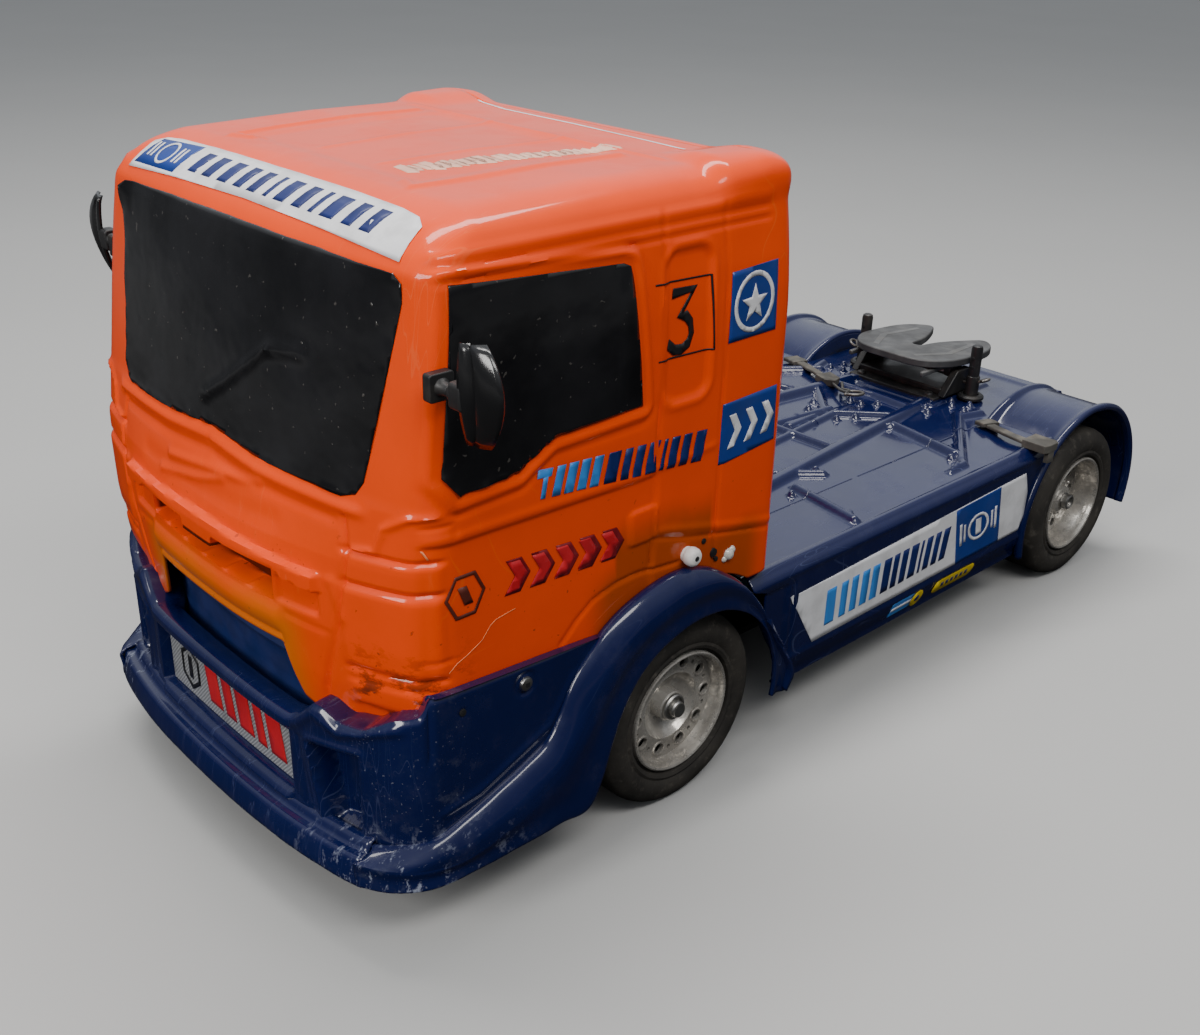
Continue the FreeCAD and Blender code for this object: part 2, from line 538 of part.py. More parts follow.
def build_mirror(name, side):
    """Mirror head that swings on a ball stud; the stud's square base, on the cab's side, is returned."""
    base_y = 85.6 if side > 0 else -88.0
    stud_y = 88.0 if side > 0 else -92.5
    base = box(("mirror_x-3.5", base_y, "mirror_z-3.5"), (7, 2.4, 7))
    stud = rod(1.6, 4.5, ("mirror_x", stud_y, "mirror_z"), "y")
    centre = ("mirror_x", "%d*mirror_ball_y" % side, "mirror_z")
    socket_y = "mirror_ball_y" if side > 0 else "-mirror_ball_y-4.5"
    plate_y = "mirror_ball_y+4.5" if side > 0 else "-mirror_ball_y-18.5"
    socket = box(("mirror_x-3.2", socket_y, "mirror_z-3.2"), (6.4, 4.5, 6.4))
    plate = box(("mirror_x-2", plate_y, "mirror_z-12"), (3, 14, 26))
    hollow = ball("mirror_ball_radius+running_gap", centre)
    part(name + "_mirror", cut(fuse(socket, plate), hollow))
    return fuse(base, stud, ball("mirror_ball_radius", centre))


def check_and_export():
    """Stop on any failed object, then write each sub-part to its own file."""
    doc.recompute()
    failed = [item.Label for item in doc.Objects if "Invalid" in item.State or "Error" in item.State]
    if failed:
        raise RuntimeError("failed objects: " + ", ".join(failed))
    os.makedirs("parts", exist_ok=True)
    for name, item in parts.items():
        if item.Shape.isNull() or not item.Shape.isValid() or not item.Shape.Solids:
            raise RuntimeError("bad shape: " + name)
        print("%-26s %d solids %10.1f mm3" % (name, len(item.Shape.Solids), item.Shape.Volume))
        item.Shape.exportStep("parts/%s.step" % name)


build_cab()
build_windows()
build_front()
build_rear_body()
build_fifth_wheel()
build_posts()
build_chassis()
build_drive()
build_steering()
build_wheels()
part("mirror_mounts", group(build_mirror("left", 1), build_mirror("right", -1)))
check_and_export()
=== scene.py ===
"""The looks of a 1:14 radio-controlled race truck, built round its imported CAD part."""
import math

import bmesh
import bpy
import numpy as np
from mathutils import Matrix, Vector, noise
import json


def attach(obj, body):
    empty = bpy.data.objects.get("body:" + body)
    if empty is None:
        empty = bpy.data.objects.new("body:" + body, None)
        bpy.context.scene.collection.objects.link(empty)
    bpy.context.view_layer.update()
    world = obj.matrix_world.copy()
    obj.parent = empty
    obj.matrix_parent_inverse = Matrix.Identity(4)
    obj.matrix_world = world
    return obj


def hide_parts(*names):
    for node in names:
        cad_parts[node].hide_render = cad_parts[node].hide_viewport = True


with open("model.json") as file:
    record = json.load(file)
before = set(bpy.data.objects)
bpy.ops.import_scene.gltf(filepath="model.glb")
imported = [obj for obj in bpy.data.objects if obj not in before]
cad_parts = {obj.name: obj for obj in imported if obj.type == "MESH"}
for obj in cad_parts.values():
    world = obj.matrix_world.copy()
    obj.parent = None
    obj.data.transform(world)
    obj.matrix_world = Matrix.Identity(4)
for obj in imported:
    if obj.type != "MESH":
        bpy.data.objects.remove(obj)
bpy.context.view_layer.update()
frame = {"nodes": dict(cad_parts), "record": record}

MM = 0.001


# ---------------------------------------------------------------- small helpers

def smooth(low, high, value):
    """0 below low, 1 above high and a soft ramp between; low may be the larger one."""
    share = np.clip((np.asarray(value, float) - low) / (high - low), 0.0, 1.0)
    return share * share * (3.0 - 2.0 * share)


def fade(low, high, value):
    """1 below low and 0 above high, softly."""
    return 1.0 - smooth(low, high, value)


def within(value, low, high, soft):
    """1 between low and high, 0 outside, with soft borders."""
    return smooth(low - soft, low + soft, value) * fade(high - soft, high + soft, value)


def ridge(distance, width):
    """A rounded line profile: 1 on the line and nearly 0 past its width."""
    return np.exp(-(np.asarray(distance) / width) ** 2)


def line_distance(u, v, points):
    """Distance from each (u, v) to an open line through the points."""
    best = np.full(np.broadcast(u, v).shape, 1e9)
    for (au, av), (bu, bv) in zip(points, points[1:]):
        du, dv = bu - au, bv - av
        share = np.clip(((u - au) * du + (v - av) * dv) / (du * du + dv * dv), 0.0, 1.0)
        best = np.minimum(best, np.hypot(u - au - share * du, v - av - share * dv))
    return best


def loop_distance(u, v, points):
    """Distance to a closed outline, negative inside it."""
    distance = line_distance(u, v, points + points[:1])
    inside = np.zeros(np.broadcast(u, v).shape, bool)
    for (au, av), (bu, bv) in zip(points, points[1:] + points[:1]):
        if av == bv:
            continue
        crosses = (av > v) != (bv > v)
        inside ^= crosses & (u < (bu - au) * (v - av) / (bv - av) + au)
    return np.where(inside, -distance, distance)


def round_box(low_u, high_u, low_v, high_v, radius, steps=5):
    """Outline of a rectangle with rounded corners."""
    centres = [(high_u - radius, high_v - radius), (low_u + radius, high_v - radius),
               (low_u + radius, low_v + radius), (high_u - radius, low_v + radius)]
    points = []
    for quarter, (centre_u, centre_v) in enumerate(centres):
        for step in range(steps + 1):
            angle = math.radians(90.0 * quarter + 90.0 * step / steps)
            points.append((centre_u + radius * math.cos(angle), centre_v + radius * math.sin(angle)))
    return points


class Build:
    """Collects the faces of one piece, in millimetres."""

    def __init__(self):
        self.verts = []
        self.faces = []
        self.marks = []

    def add(self, verts, faces, mark=0):
        base = len(self.verts)
        self.verts.extend(tuple(float(c) for c in vert) for vert in verts)
        self.faces.extend(tuple(base + i for i in face) for face in faces)
        self.marks.extend([mark] * len(faces))
        return self

    def grid(self, points, loop=False, mark=0, flip=False, away=None):
        """Quads between rows of points; loop closes each row, away is a place behind the faces."""
        points = np.asarray(points, float)
        rows, columns = points.shape[:2]
        if away is not None:
            corner = points[:-1, :-1]
            facing = np.cross(points[:-1, 1:] - corner, points[1:, :-1] - corner)
            flip = np.sum(facing * (corner - np.array(away, float))) < 0
        faces = []
        for row in range(rows - 1):
            for column in range(columns if loop else columns - 1):
                after = (column + 1) % columns
                face = (row * columns + column, row * columns + after,
                        (row + 1) * columns + after, (row + 1) * columns + column)
                faces.append(face[::-1] if flip else face)
        return self.add(points.reshape(-1, 3), faces, mark)

    def lathe(self, profile, origin, axis="y", segments=64, mark=0, close=True):
        """Turns (radius, distance) points about an axis through the origin."""
        points = []
        path = profile + profile[:1] if close else profile
        for radius, along in path:
            row = []
            for step in range(segments):
                angle = 2 * math.pi * step / segments
                across = (radius * math.cos(angle), radius * math.sin(angle))
                row.append(on_axis(origin, axis, across, along))
            points.append(row)
        return self.grid(points, True, mark)

    def turned(self, profile, x, z, side=1, segments=64, mark=0, close=True):
        """Turns (radius, distance) points about a line across the truck, out to one side."""
        outward = [(radius, side * along) for radius, along in profile]
        return self.lathe(outward, (x, 0, z), "y", segments, mark, close)

    def tube(self, path, radius, segments=12, mark=0, loop=False):
        """A round bar along a path; its ends are closed unless it loops."""
        path = [Vector(point) for point in path]
        rows = []
        count = len(path)
        side = None
        for i, point in enumerate(path):
            before = path[(i - 1) % count] if (loop or i > 0) else point
            after = path[(i + 1) % count] if (loop or i < count - 1) else point
            along = (after - before).normalized()
            if side is None:
                side = along.orthogonal().normalized()
            side = (side - along * side.dot(along)).normalized()
            other = along.cross(side)
            rows.append([point + radius * (math.cos(a) * side + math.sin(a) * other)
                         for a in (2 * math.pi * s / segments for s in range(segments))])
        if loop:
            rows.append(rows[0])
        self.grid([[tuple(p) for p in row] for row in rows], True, mark)
        if not loop:
            for row, flip in ((rows[0], True), (rows[-1], False)):
                face = tuple(range(segments))
                self.add([tuple(p) for p in row], [face[::-1] if flip else face], mark)
        return self

    def slab(self, outline, place_at, low, high, mark=0):
        """A flat outline given thickness; place_at turns (u, v, depth) into a point."""
        count = len(outline)
        verts = [place_at(u, v, low) for u, v in outline] + [place_at(u, v, high) for u, v in outline]
        faces = [tuple(range(count))[::-1], tuple(range(count, 2 * count))]
        faces += [(i, (i + 1) % count, count + (i + 1) % count, count + i) for i in range(count)]
        return self.add(verts, faces, mark)

    def block(self, low, high, mark=0):
        """An upright box between two corners."""
        outline = [(low[0], low[1]), (high[0], low[1]), (high[0], high[1]), (low[0], high[1])]
        return self.slab(outline, lambda u, v, w: (u, v, w), low[2], high[2], mark)

    def mirrored(self):
        """The same faces on the other side of the truck."""
        other = Build()
        other.verts = [(x, -y, z) for x, y, z in self.verts]
        other.faces = [face[::-1] for face in self.faces]
        other.marks = list(self.marks)
        return other

    def join(self, other):
        base = len(self.verts)
        self.verts.extend(other.verts)
        self.faces.extend(tuple(base + i for i in face) for face in other.faces)
        self.marks.extend(other.marks)
        return self

    def moved(self, move):
        """Moves every corner by a function of its place."""
        self.verts = [tuple(move(Vector(vert))) for vert in self.verts]
        return self


def on_axis(origin, axis, across, along):
    """A point from its place across and along a main axis."""
    x, y, z = origin
    if axis == "x":
        return (x + along, y + across[0], z + across[1])
    if axis == "y":
        return (x + across[0], y + along, z - across[1])
    return (x + across[0], y + across[1], z + along)


def placed(name, data):
    """A new object, put in the scene."""
    thing = bpy.data.objects.new(name, data)
    bpy.context.scene.collection.objects.link(thing)
    return thing


def piece(name, build, materials, body="truck", stands_for=(), bevel=0.0, wall=0.0,
          sharp=38.0, closed=True, weld=1e-3, segments=2, inward=-1.0):
    """Makes the object, gives it its materials and ties it to its body."""
    if not isinstance(materials, (list, tuple)):
        materials = [materials]
    mesh = bpy.data.meshes.new(name)
    mesh.from_pydata([tuple(c * MM for c in vert) for vert in build.verts], [], build.faces)
    for surface in materials:
        mesh.materials.append(surface)
    mesh.polygons.foreach_set("material_index", build.marks)
    work = bmesh.new()
    work.from_mesh(mesh)
    bmesh.ops.remove_doubles(work, verts=work.verts, dist=weld * MM)
    bmesh.ops.dissolve_degenerate(work, edges=work.edges, dist=weld * 0.5 * MM)
    if closed:
        bmesh.ops.recalc_face_normals(work, faces=work.faces)
    limit = math.radians(sharp)
    for face in work.faces:
        face.smooth = True
    for edge in work.edges:
        edge.smooth = len(edge.link_faces) != 2 or edge.calc_face_angle(0.0) < limit
    work.to_mesh(mesh)
    work.free()
    thing = placed(name, mesh)
    if wall:
        shell = thing.modifiers.new("wall", "SOLIDIFY")
        shell.thickness = wall * MM
        shell.offset = inward
    if bevel:
        edge_round = thing.modifiers.new("edges", "BEVEL")
        edge_round.width = bevel * MM
        edge_round.segments = segments
        edge_round.limit_method = "ANGLE"
        edge_round.angle_limit = math.radians(sharp)
    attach(thing, body)
    if stands_for:
        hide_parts(*stands_for)
    return thing


# ---------------------------------------------------------------- materials

def soft_range(tree, value, low, high, floor=0.0, top=1.0):
    """A soft step of a socket's value, from floor at low to top at high."""
    made = tree.nodes.new("ShaderNodeMapRange")
    made.interpolation_type = "SMOOTHSTEP"
    for key, number in (("From Min", low), ("From Max", high), ("To Min", floor), ("To Max", top)):
        made.inputs[key].default_value = number
    tree.links.new(value, made.inputs["Value"])
    return made.outputs["Result"]


class Nodes:
    """A short way to write one material's node tree."""

    def __init__(self, name):
        self.material = bpy.data.materials.new(name)
        self.material.use_nodes = True
        self.tree = self.material.node_tree
        self.surface = self.tree.nodes["Principled BSDF"]
        self.place = self.tree.nodes.new("ShaderNodeTexCoord").outputs["Object"]
        self.bumps = None

    def feed(self, made, key, value):
        """Gives an input, by name or number, a socket or a plain value."""
        socket = made.inputs[key]
        if isinstance(value, bpy.types.NodeSocket):
            self.tree.links.new(value, socket)
        elif isinstance(value, tuple):
            socket.default_value = (*value, 1.0)
        else:
            socket.default_value = value

    def math(self, how, first, second=0.0):
        made = self.tree.nodes.new("ShaderNodeMath")
        made.operation = how
        self.feed(made, 0, first)
        self.feed(made, 1, second)
        return made.outputs[0]

    def times(self, first, second):
        return self.math("MULTIPLY", first, second)

    def stretched(self, scale):
        """The object's own coordinates, scaled per axis."""
        made = self.tree.nodes.new("ShaderNodeMapping")
        self.feed(made, "Vector", self.place)
        made.inputs["Scale"].default_value = scale
        return made.outputs[0]

    def noise(self, scale, detail=4.0, rough=0.55, stretch=None):
        made = self.tree.nodes.new("ShaderNodeTexNoise")
        self.feed(made, "Vector", self.stretched(stretch) if stretch else self.place)
        made.inputs["Scale"].default_value = scale
        made.inputs["Detail"].default_value = detail
        made.inputs["Roughness"].default_value = rough
        return made.outputs["Fac"]

    def ramp(self, value, low, high):
        return soft_range(self.tree, value, low, high)

    def axis(self, letter):
        """One coordinate in millimetres."""
        made = self.tree.nodes.new("ShaderNodeSeparateXYZ")
        self.feed(made, "Vector", self.place)
        return self.times(made.outputs[letter], 1000.0)

    def between(self, value, low, high, soft):
        """1 between low and high, 0 outside, with soft borders."""
        rise = self.ramp(value, low - soft, low + soft)
        fall = self.ramp(value, high + soft, high - soft)
        return self.times(rise, fall)

    def mix(self, share, first, second):
        made = self.tree.nodes.new("ShaderNodeMix")
        made.data_type = "RGBA"
        self.feed(made, 0, share)
        self.feed(made, 6, first)
        self.feed(made, 7, second)
        return made.outputs[2]

    def stain(self, tone, share, strength, colour):
        """The tone with a patchy second colour over it."""
        return self.mix(self.times(share, strength), tone, colour)

    def blend_value(self, share, first, second):
        made = self.tree.nodes.new("ShaderNodeMix")
        made.data_type = "FLOAT"
        self.feed(made, 0, share)
        self.feed(made, 2, first)
        self.feed(made, 3, second)
        return made.outputs[0]

    def bump(self, height, strength, depth):
        """Adds one more layer of relief to the surface's normal."""
        made = self.tree.nodes.new("ShaderNodeBump")
        self.feed(made, "Height", height)
        made.inputs["Strength"].default_value = strength
        made.inputs["Distance"].default_value = depth * MM
        if self.bumps:
            self.tree.links.new(self.bumps, made.inputs["Normal"])
        self.bumps = made.outputs["Normal"]
        self.tree.links.new(self.bumps, self.surface.inputs["Normal"])

    def scratches(self, scale, low, high, seed=0.0):
        """Thin lines that run every way: the narrow zero band of a stretched noise."""
        fine = []
        for turn in (0.35, 1.25, 2.2):
            turned = self.tree.nodes.new("ShaderNodeMapping")
            self.feed(turned, "Vector", self.place)
            turned.inputs["Rotation"].default_value = (turn, turn * 0.7 + seed, turn * 1.3)
            turned.inputs["Scale"].default_value = (1.0, 14.0, 1.0)
            made = self.tree.nodes.new("ShaderNodeTexNoise")
            self.feed(made, "Vector", turned.outputs[0])
            made.inputs["Scale"].default_value = scale
            made.inputs["Detail"].default_value = 2.0
            off = self.math("ABSOLUTE", self.math("SUBTRACT", made.outputs["Fac"], 0.5))
            fine.append(self.ramp(off, high, low))
        return self.math("MAXIMUM", fine[0], self.math("MAXIMUM", fine[1], fine[2]))

    def finish(self, colour, rough=0.4, metal=0.0, coat=0.0, coat_rough=0.1, **others):
        self.feed(self.surface, "Base Color", colour)
        self.feed(self.surface, "Roughness", rough)
        self.surface.inputs["Metallic"].default_value = metal
        self.feed(self.surface, "Coat Weight", coat)
        self.surface.inputs["Coat Roughness"].default_value = coat_rough
        for key, value in others.items():
            self.feed(self.surface, key.replace("_", " "), value)
        return self.material


def plain(name, colour, rough=0.45, metal=0.0, coat=0.0, mottle=0.12, grain=260.0, depth=0.05, dirt=0.0,
          dirt_colour=(0.10, 0.085, 0.07)):
    """A single-colour surface with light mottling, a fine grain and some dirt."""
    nodes = Nodes(name)
    patchy = nodes.noise(55.0, 5.0)
    darker = tuple(c * (1.0 - mottle) for c in colour)
    lighter = tuple(min(1.0, c * (1.0 + mottle)) for c in colour)
    tone = nodes.mix(nodes.ramp(patchy, 0.3, 0.7), darker, lighter)
    if dirt:
        tone = nodes.stain(tone, nodes.ramp(nodes.noise(120.0, 7.0), 0.45, 0.68), dirt, dirt_colour)
    handled = nodes.ramp(nodes.noise(90.0, 6.0), 0.35, 0.65)
    uneven = nodes.blend_value(handled, rough * 0.85, min(1.0, rough * 1.2))
    nodes.bump(nodes.noise(grain * 10.0, 3.0), 0.5, depth)
    return nodes.finish(tone, uneven, metal, coat)


SLOT_FOOT = 101.6  # height of the nose slot's lower edge at the middle
SLOT_SLOPE = 0.05  # how much that edge falls per millimetre towards the left
ORANGE = (0.98, 0.069, 0.0)
BROWN_SPRAY = (0.22, 0.055, 0.002)
OLIVE_SPRAY = (0.62, 0.17, 0.002)
BLUE = (0.0045, 0.009, 0.062)


def orange_paint():
    """Glossy orange lexan with brown overspray low down, scuffs on the corners, pale edges and painted shade
    deep in the nose slot.
    """
    nodes = Nodes("orange_paint")
    up, along, across = nodes.axis("Z"), nodes.axis("X"), nodes.math("ABSOLUTE", nodes.axis("Y"))
    cloud = nodes.noise(38.0, 5.0)
    tone = nodes.mix(nodes.ramp(cloud, 0.3, 0.75), tuple(c * 0.93 for c in ORANGE), ORANGE)
    ragged = nodes.times(nodes.math("SUBTRACT", nodes.noise(26.0, 4.0), 0.5), 16.0)
    level = nodes.math("ADD", up, ragged)
    door = nodes.times(nodes.between(along, 80.0, 121.0, 1.2), nodes.ramp(level, 118.0, 104.0))
    low = nodes.times(nodes.between(along, 56.0, 128.0, 7.0), nodes.ramp(level, 106.0, 95.0))
    flank = nodes.times(nodes.math("MAXIMUM", door, low), nodes.ramp(across, 78.0, 84.0))
    tone = nodes.stain(tone, flank, 0.66, BROWN_SPRAY)
    mouth = nodes.times(nodes.ramp(across, 50.0, 36.0), nodes.ramp(level, 104.0, 88.0))
    mouth = nodes.times(mouth, nodes.ramp(along, 190.0, 198.0))
    tone = nodes.stain(tone, mouth, 0.75, OLIVE_SPRAY)
    corner = nodes.times(nodes.ramp(level, 104.0, 76.0), nodes.ramp(across, 56.0, 66.0))
    corner = nodes.times(corner, nodes.ramp(along, 170.0, 186.0))
    rub = nodes.times(nodes.ramp(nodes.noise(95.0, 7.0, 0.7, (1.0, 1.0, 1.8)), 0.52, 0.62), corner)
    tone = nodes.stain(tone, rub, 0.85, (0.035, 0.022, 0.014))
    # painted shade: the deep nose slot is stained nearly black to stand for the shade inside it
    slot_foot = nodes.math("ADD", nodes.times(nodes.axis("Y"), -SLOT_SLOPE), SLOT_FOOT)
    above = nodes.ramp(nodes.math("SUBTRACT", up, slot_foot), 0.2, 0.9)
    slot = nodes.times(nodes.times(above, nodes.ramp(up, 109.4, 108.8)),
                       nodes.times(nodes.ramp(across, 34.6, 34.0), nodes.ramp(along, 190.0, 192.0)))
    tone = nodes.stain(tone, slot, 0.93, (0.012, 0.004, 0.002))
    specks = nodes.ramp(nodes.noise(420.0, 2.0), 0.70, 0.76)
    low_half = nodes.ramp(level, 150.0, 90.0)
    tone = nodes.stain(tone, nodes.times(specks, low_half), 0.6, (0.06, 0.04, 0.03))
    fine = nodes.scratches(9.0, 0.0006, 0.0022)
    scuffed = nodes.times(fine, nodes.ramp(nodes.noise(20.0), 0.45, 0.65))
    tone = nodes.stain(tone, scuffed, 0.14, (0.95, 0.30, 0.10))
    uneven = nodes.blend_value(nodes.ramp(nodes.noise(45.0, 5.0), 0.4, 0.7), 0.28, 0.42)
    nodes.bump(nodes.noise(22.0, 2.0), 0.10, 0.5)
    nodes.bump(nodes.noise(260.0, 2.0), 0.08, 0.05)
    return nodes.finish(tone, uneven, 0.0, 0.5, 0.05, Specular_IOR_Level=0.1)


def blue_paint(name="blue_paint", wear=1.0):
    """Deep blue lexan, glossy and slightly wavy, with scratches and whitish rub marks."""
    nodes = Nodes(name)
    up, along, across = nodes.axis("Z"), nodes.axis("X"), nodes.math("ABSOLUTE", nodes.axis("Y"))
    tone = nodes.mix(nodes.ramp(nodes.noise(30.0, 4.0), 0.3, 0.7), tuple(c * 0.85 for c in BLUE), BLUE)
    nose = nodes.times(nodes.ramp(along, 150.0, 196.0), nodes.ramp(up, 46.0, 26.0))
    nose = nodes.times(nose, nodes.ramp(across, 40.0, 72.0))
    grit = nodes.ramp(nodes.noise(150.0, 8.0, 0.72, (1.0, 2.2, 1.0)), 0.55, 0.63)
    worn = nodes.times(grit, nodes.times(nose, wear))
    corner = nodes.times(nodes.ramp(along, 168.0, 190.0), nodes.ramp(across, 58.0, 72.0))
    chips = nodes.times(nodes.ramp(nodes.noise(900.0, 3.0), 0.665, 0.70), corner)
    rubbed = nodes.times(nodes.ramp(nodes.noise(170.0, 7.0, 0.7), 0.55, 0.75), corner)
    lines = nodes.times(nodes.scratches(8.0, 0.0004, 0.0018, 0.4), nodes.ramp(nodes.noise(16.0), 0.4, 0.62))
    tone = nodes.stain(tone, lines, 0.16, (0.16, 0.20, 0.36))
    tone = nodes.stain(tone, rubbed, 0.25 * wear, (0.16, 0.18, 0.22))
    tone = nodes.stain(tone, chips, 0.35 * wear, (0.30, 0.32, 0.37))
    tone = nodes.stain(tone, worn, 0.8, (0.30, 0.33, 0.42))
    dust = nodes.ramp(nodes.noise(70.0, 8.0, 0.7), 0.5, 0.75)
    tone = nodes.stain(tone, dust, 0.05, (0.20, 0.21, 0.26))
    dull = nodes.ramp(nodes.noise(60.0, 6.0), 0.45, 0.75)
    uneven = nodes.blend_value(nodes.math("MAXIMUM", worn, dull), 0.17, 0.38)
    nodes.bump(nodes.noise(30.0, 2.0), 0.25, 0.6)
    nodes.bump(nodes.noise(300.0, 3.0), 0.12, 0.05)
    return nodes.finish(tone, uneven, 0.0, 0.6, 0.06, Specular_IOR_Level=0.35)


def film_black():
    """High-gloss black film with soft wrinkles and small bubbles."""
    nodes = Nodes("film_black")
    cloud = nodes.ramp(nodes.noise(30.0, 5.0), 0.35, 0.7)
    tone = nodes.mix(cloud, (0.004, 0.004, 0.005), (0.012, 0.012, 0.014))
    nodes.bump(nodes.noise(34.0, 3.0, 0.6), 0.7, 1.0)
    nodes.bump(nodes.noise(230.0, 2.0), 0.25, 0.08)
    specks = nodes.ramp(nodes.noise(520.0, 1.0), 0.72, 0.78)
    nodes.bump(specks, 0.5, 0.12)
    tone = nodes.stain(tone, specks, 0.5, (0.12, 0.11, 0.10))
    return nodes.finish(tone, 0.13, 0.0, 0.3, 0.04)


PAINT = {
    "orange": orange_paint(),
    "blue": blue_paint(),
    "blue_under": plain("blue_under", (0.010, 0.022, 0.11), 0.55, mottle=0.2),
    "film": film_black(),
    "steel": plain("steel", (0.55, 0.55, 0.54), 0.3, 1.0, mottle=0.1, dirt=0.2),
    "nut_steel": plain("nut_steel", (0.50, 0.49, 0.47), 0.35, 1.0, dirt=0.3),
    "can": plain("motor_can", (0.45, 0.46, 0.48), 0.25, 1.0),
    "brass": plain("brass", (0.60, 0.42, 0.16), 0.3, 1.0),
    "black": plain("black_nylon", (0.016, 0.016, 0.017), 0.42, mottle=0.25, dirt=0.25),
    # painted shade: near-black matt stand-in for the shade inside holes, sockets and behind the rim's holes
    "dark": plain("painted_shade_inside", (0.006, 0.006, 0.007), 0.8),
    "grey_nylon": plain("grey_nylon", (0.060, 0.060, 0.061), 0.5, mottle=0.25, grain=200.0, dirt=0.3,
                        dirt_colour=(0.17, 0.17, 0.165)),
    "white": plain("white_nylon", (0.80, 0.79, 0.76), 0.35, mottle=0.05, dirt=0.12),
    "battery": plain("battery_wrap", (0.03, 0.10, 0.16), 0.25, coat=0.4),
    "aluminium": plain("aluminium", (0.62, 0.63, 0.64), 0.3, 1.0),
    "rubber": plain("rubber_strap", (0.070, 0.066, 0.058), 0.8, mottle=0.3, grain=320.0, depth=0.12,
                    dirt=0.5, dirt_colour=(0.20, 0.18, 0.15)),
    "clear": plain("hot_glue", (0.62, 0.60, 0.55), 0.18, coat=0.8, mottle=0.08),
    "sticker_white": plain("sticker_white", (0.78, 0.78, 0.80), 0.38, mottle=0.05, grain=60.0,
                           depth=0.1, dirt=0.16),
    "sticker_blue": plain("sticker_blue", (0.012, 0.045, 0.25), 0.35, mottle=0.12, dirt=0.1),
    "sticker_navy": plain("sticker_navy", (0.008, 0.020, 0.13), 0.4, mottle=0.1),
    "sticker_light": plain("sticker_light", (0.04, 0.22, 0.62), 0.4, mottle=0.1),
    "sticker_red": plain("sticker_red", (0.55, 0.012, 0.02), 0.4, mottle=0.12),
    "sticker_black": plain("sticker_black", (0.010, 0.010, 0.012), 0.4, mottle=0.1),
    "sticker_yellow": plain("sticker_yellow", (0.85, 0.62, 0.02), 0.4, mottle=0.1),
}

SLOT_PAINT = {
    "orange_shell": "orange", "blue_shell": "blue", "window_film": "film", "silver_film": "aluminium",
    "steel": "steel", "nut_steel": "nut_steel", "motor_can": "can", "brass_pinion": "brass",
    "black_nylon": "black", "grey_nylon": "grey_nylon", "white_nylon": "white",
    "battery_wrap": "battery", "aluminium_plate": "aluminium", "rubber_strap": "rubber",
    "wheel_silver": "aluminium", "tyre_rubber": "rubber",
}


# ---------------------------------------------------------------- the cab's outside as one rounded surface

CAB_HALF = 85.5
CAB_REAR = 47.0
LEFT_BOW = 0.92
RIGHT_BOW = 0.5
CAB_CORE_Y = 73.5
CAB_CORE_REAR = 59.0
CAB_CORE_TOP = 196.0
CAB_SILL = 99.0
CAB_WALL = 1.2
NOSE_COLUMNS = 221
WHEEL_X = 87.5
WHEEL_Z = 35.0


def soft_max(first, second, blend):
    overlap = np.maximum(blend - np.abs(first - second), 0.0)
    return np.maximum(first, second) + overlap * overlap / (4.0 * blend)


def cab_front(y, z):
    """The nose: upright grille, leaning windscreen, bowed across; its right corner is pulled forward."""
    base = np.interp(z, [40, 65, 80, 95, 113, 120, 134, 140, 199, 203, 209, 213],
                     [204, 206, 208, 209.3, 209.5, 208.3, 204.6, 203, 190.5, 188.5, 184, 179])
    bow = np.interp(z, [60, 115, 137, 199, 212], [10, 10, 7, 3.2, 3.0])
    return base - bow * np.where(np.asarray(y) < 0, RIGHT_BOW, LEFT_BOW) * (np.abs(y) / 60.0) ** 2.3


def cab_field(points):
    """Below 0 inside the cab, 0 on its outside."""
    x, y, z = points[..., 0], points[..., 1], points[..., 2]
    half = np.interp(z, [0, 165, 176, 186, 196, 206, 216],
                     [CAB_HALF, CAB_HALF, 85.2, 84.6, 83.6, 82.4, 80.5])
    rear = CAB_REAR + np.interp(z, [0, 170, 205, 215], [0, 0, 1.5, 3])
    roof = np.interp(x, [40, 60, 120, 166, 190, 215], [212.0, 213.0, 213.5, 212.2, 209.5, 203.0])
    wall = soft_max(np.abs(y) - half, x - cab_front(y, z), np.where(y < 0, 6.0, 9.0))
    wall = soft_max(wall, rear - x, 7.0)
    return soft_max(wall, z - roof, np.interp(x, [60, 90], [6.5, 14.0]))


def core_front(z):
    """How far forward the ray centres may stand at a height."""
    return cab_front(75.0, z) - 12.0


def cast(starts, ways, reach=62.0, halvings=24):
    """Where rays from inside the cab meet its outside."""
    low = np.zeros(starts.shape[:-1])
    high = np.full(starts.shape[:-1], reach)
    for _ in range(halvings):
        middle = (low + high) / 2.0
        outside = cab_field(starts + ways * middle[..., None]) > 0
        high = np.where(outside, middle, high)
        low = np.where(outside, low, middle)
    return starts + ways * high[..., None]


SEAM = [(60, 132.6), (61.8, 121.7), (60.2, 110), (57.7, 97.5), (53, 84), (49.8, 73.5), (49, 66)]
LENS_ARC = [(64, 124.5), (70.6, 125.4), (72.8, 132.4), (79.7, 136.8), (84, 137.5)]
WINDOW = [(113, 151), (147, 150), (156, 145), (159, 143), (179, 142), (184, 148), (180, 186), (179, 197),
          (121, 193.3), (118.4, 192.2), (117.6, 189)]
SCREEN_EDGE = [(0, 141.4), (25.5, 139.2), (48.5, 138.6), (59, 138.2), (63.5, 139.6), (66, 143.5), (69, 160),
               (72, 178), (74.6, 192), (74.2, 196.6), (71, 198.6), (40, 199.6), (0, 199.9)]
SCREEN = SCREEN_EDGE + [(-0.95 * y, z) for y, z in SCREEN_EDGE[-2:0:-1]]
ARCH_CREASE = [(142, 82.8), (136, 88.6), (129.8, 93), (121, 95.3), (111.8, 95.8), (94.8, 94.2)]


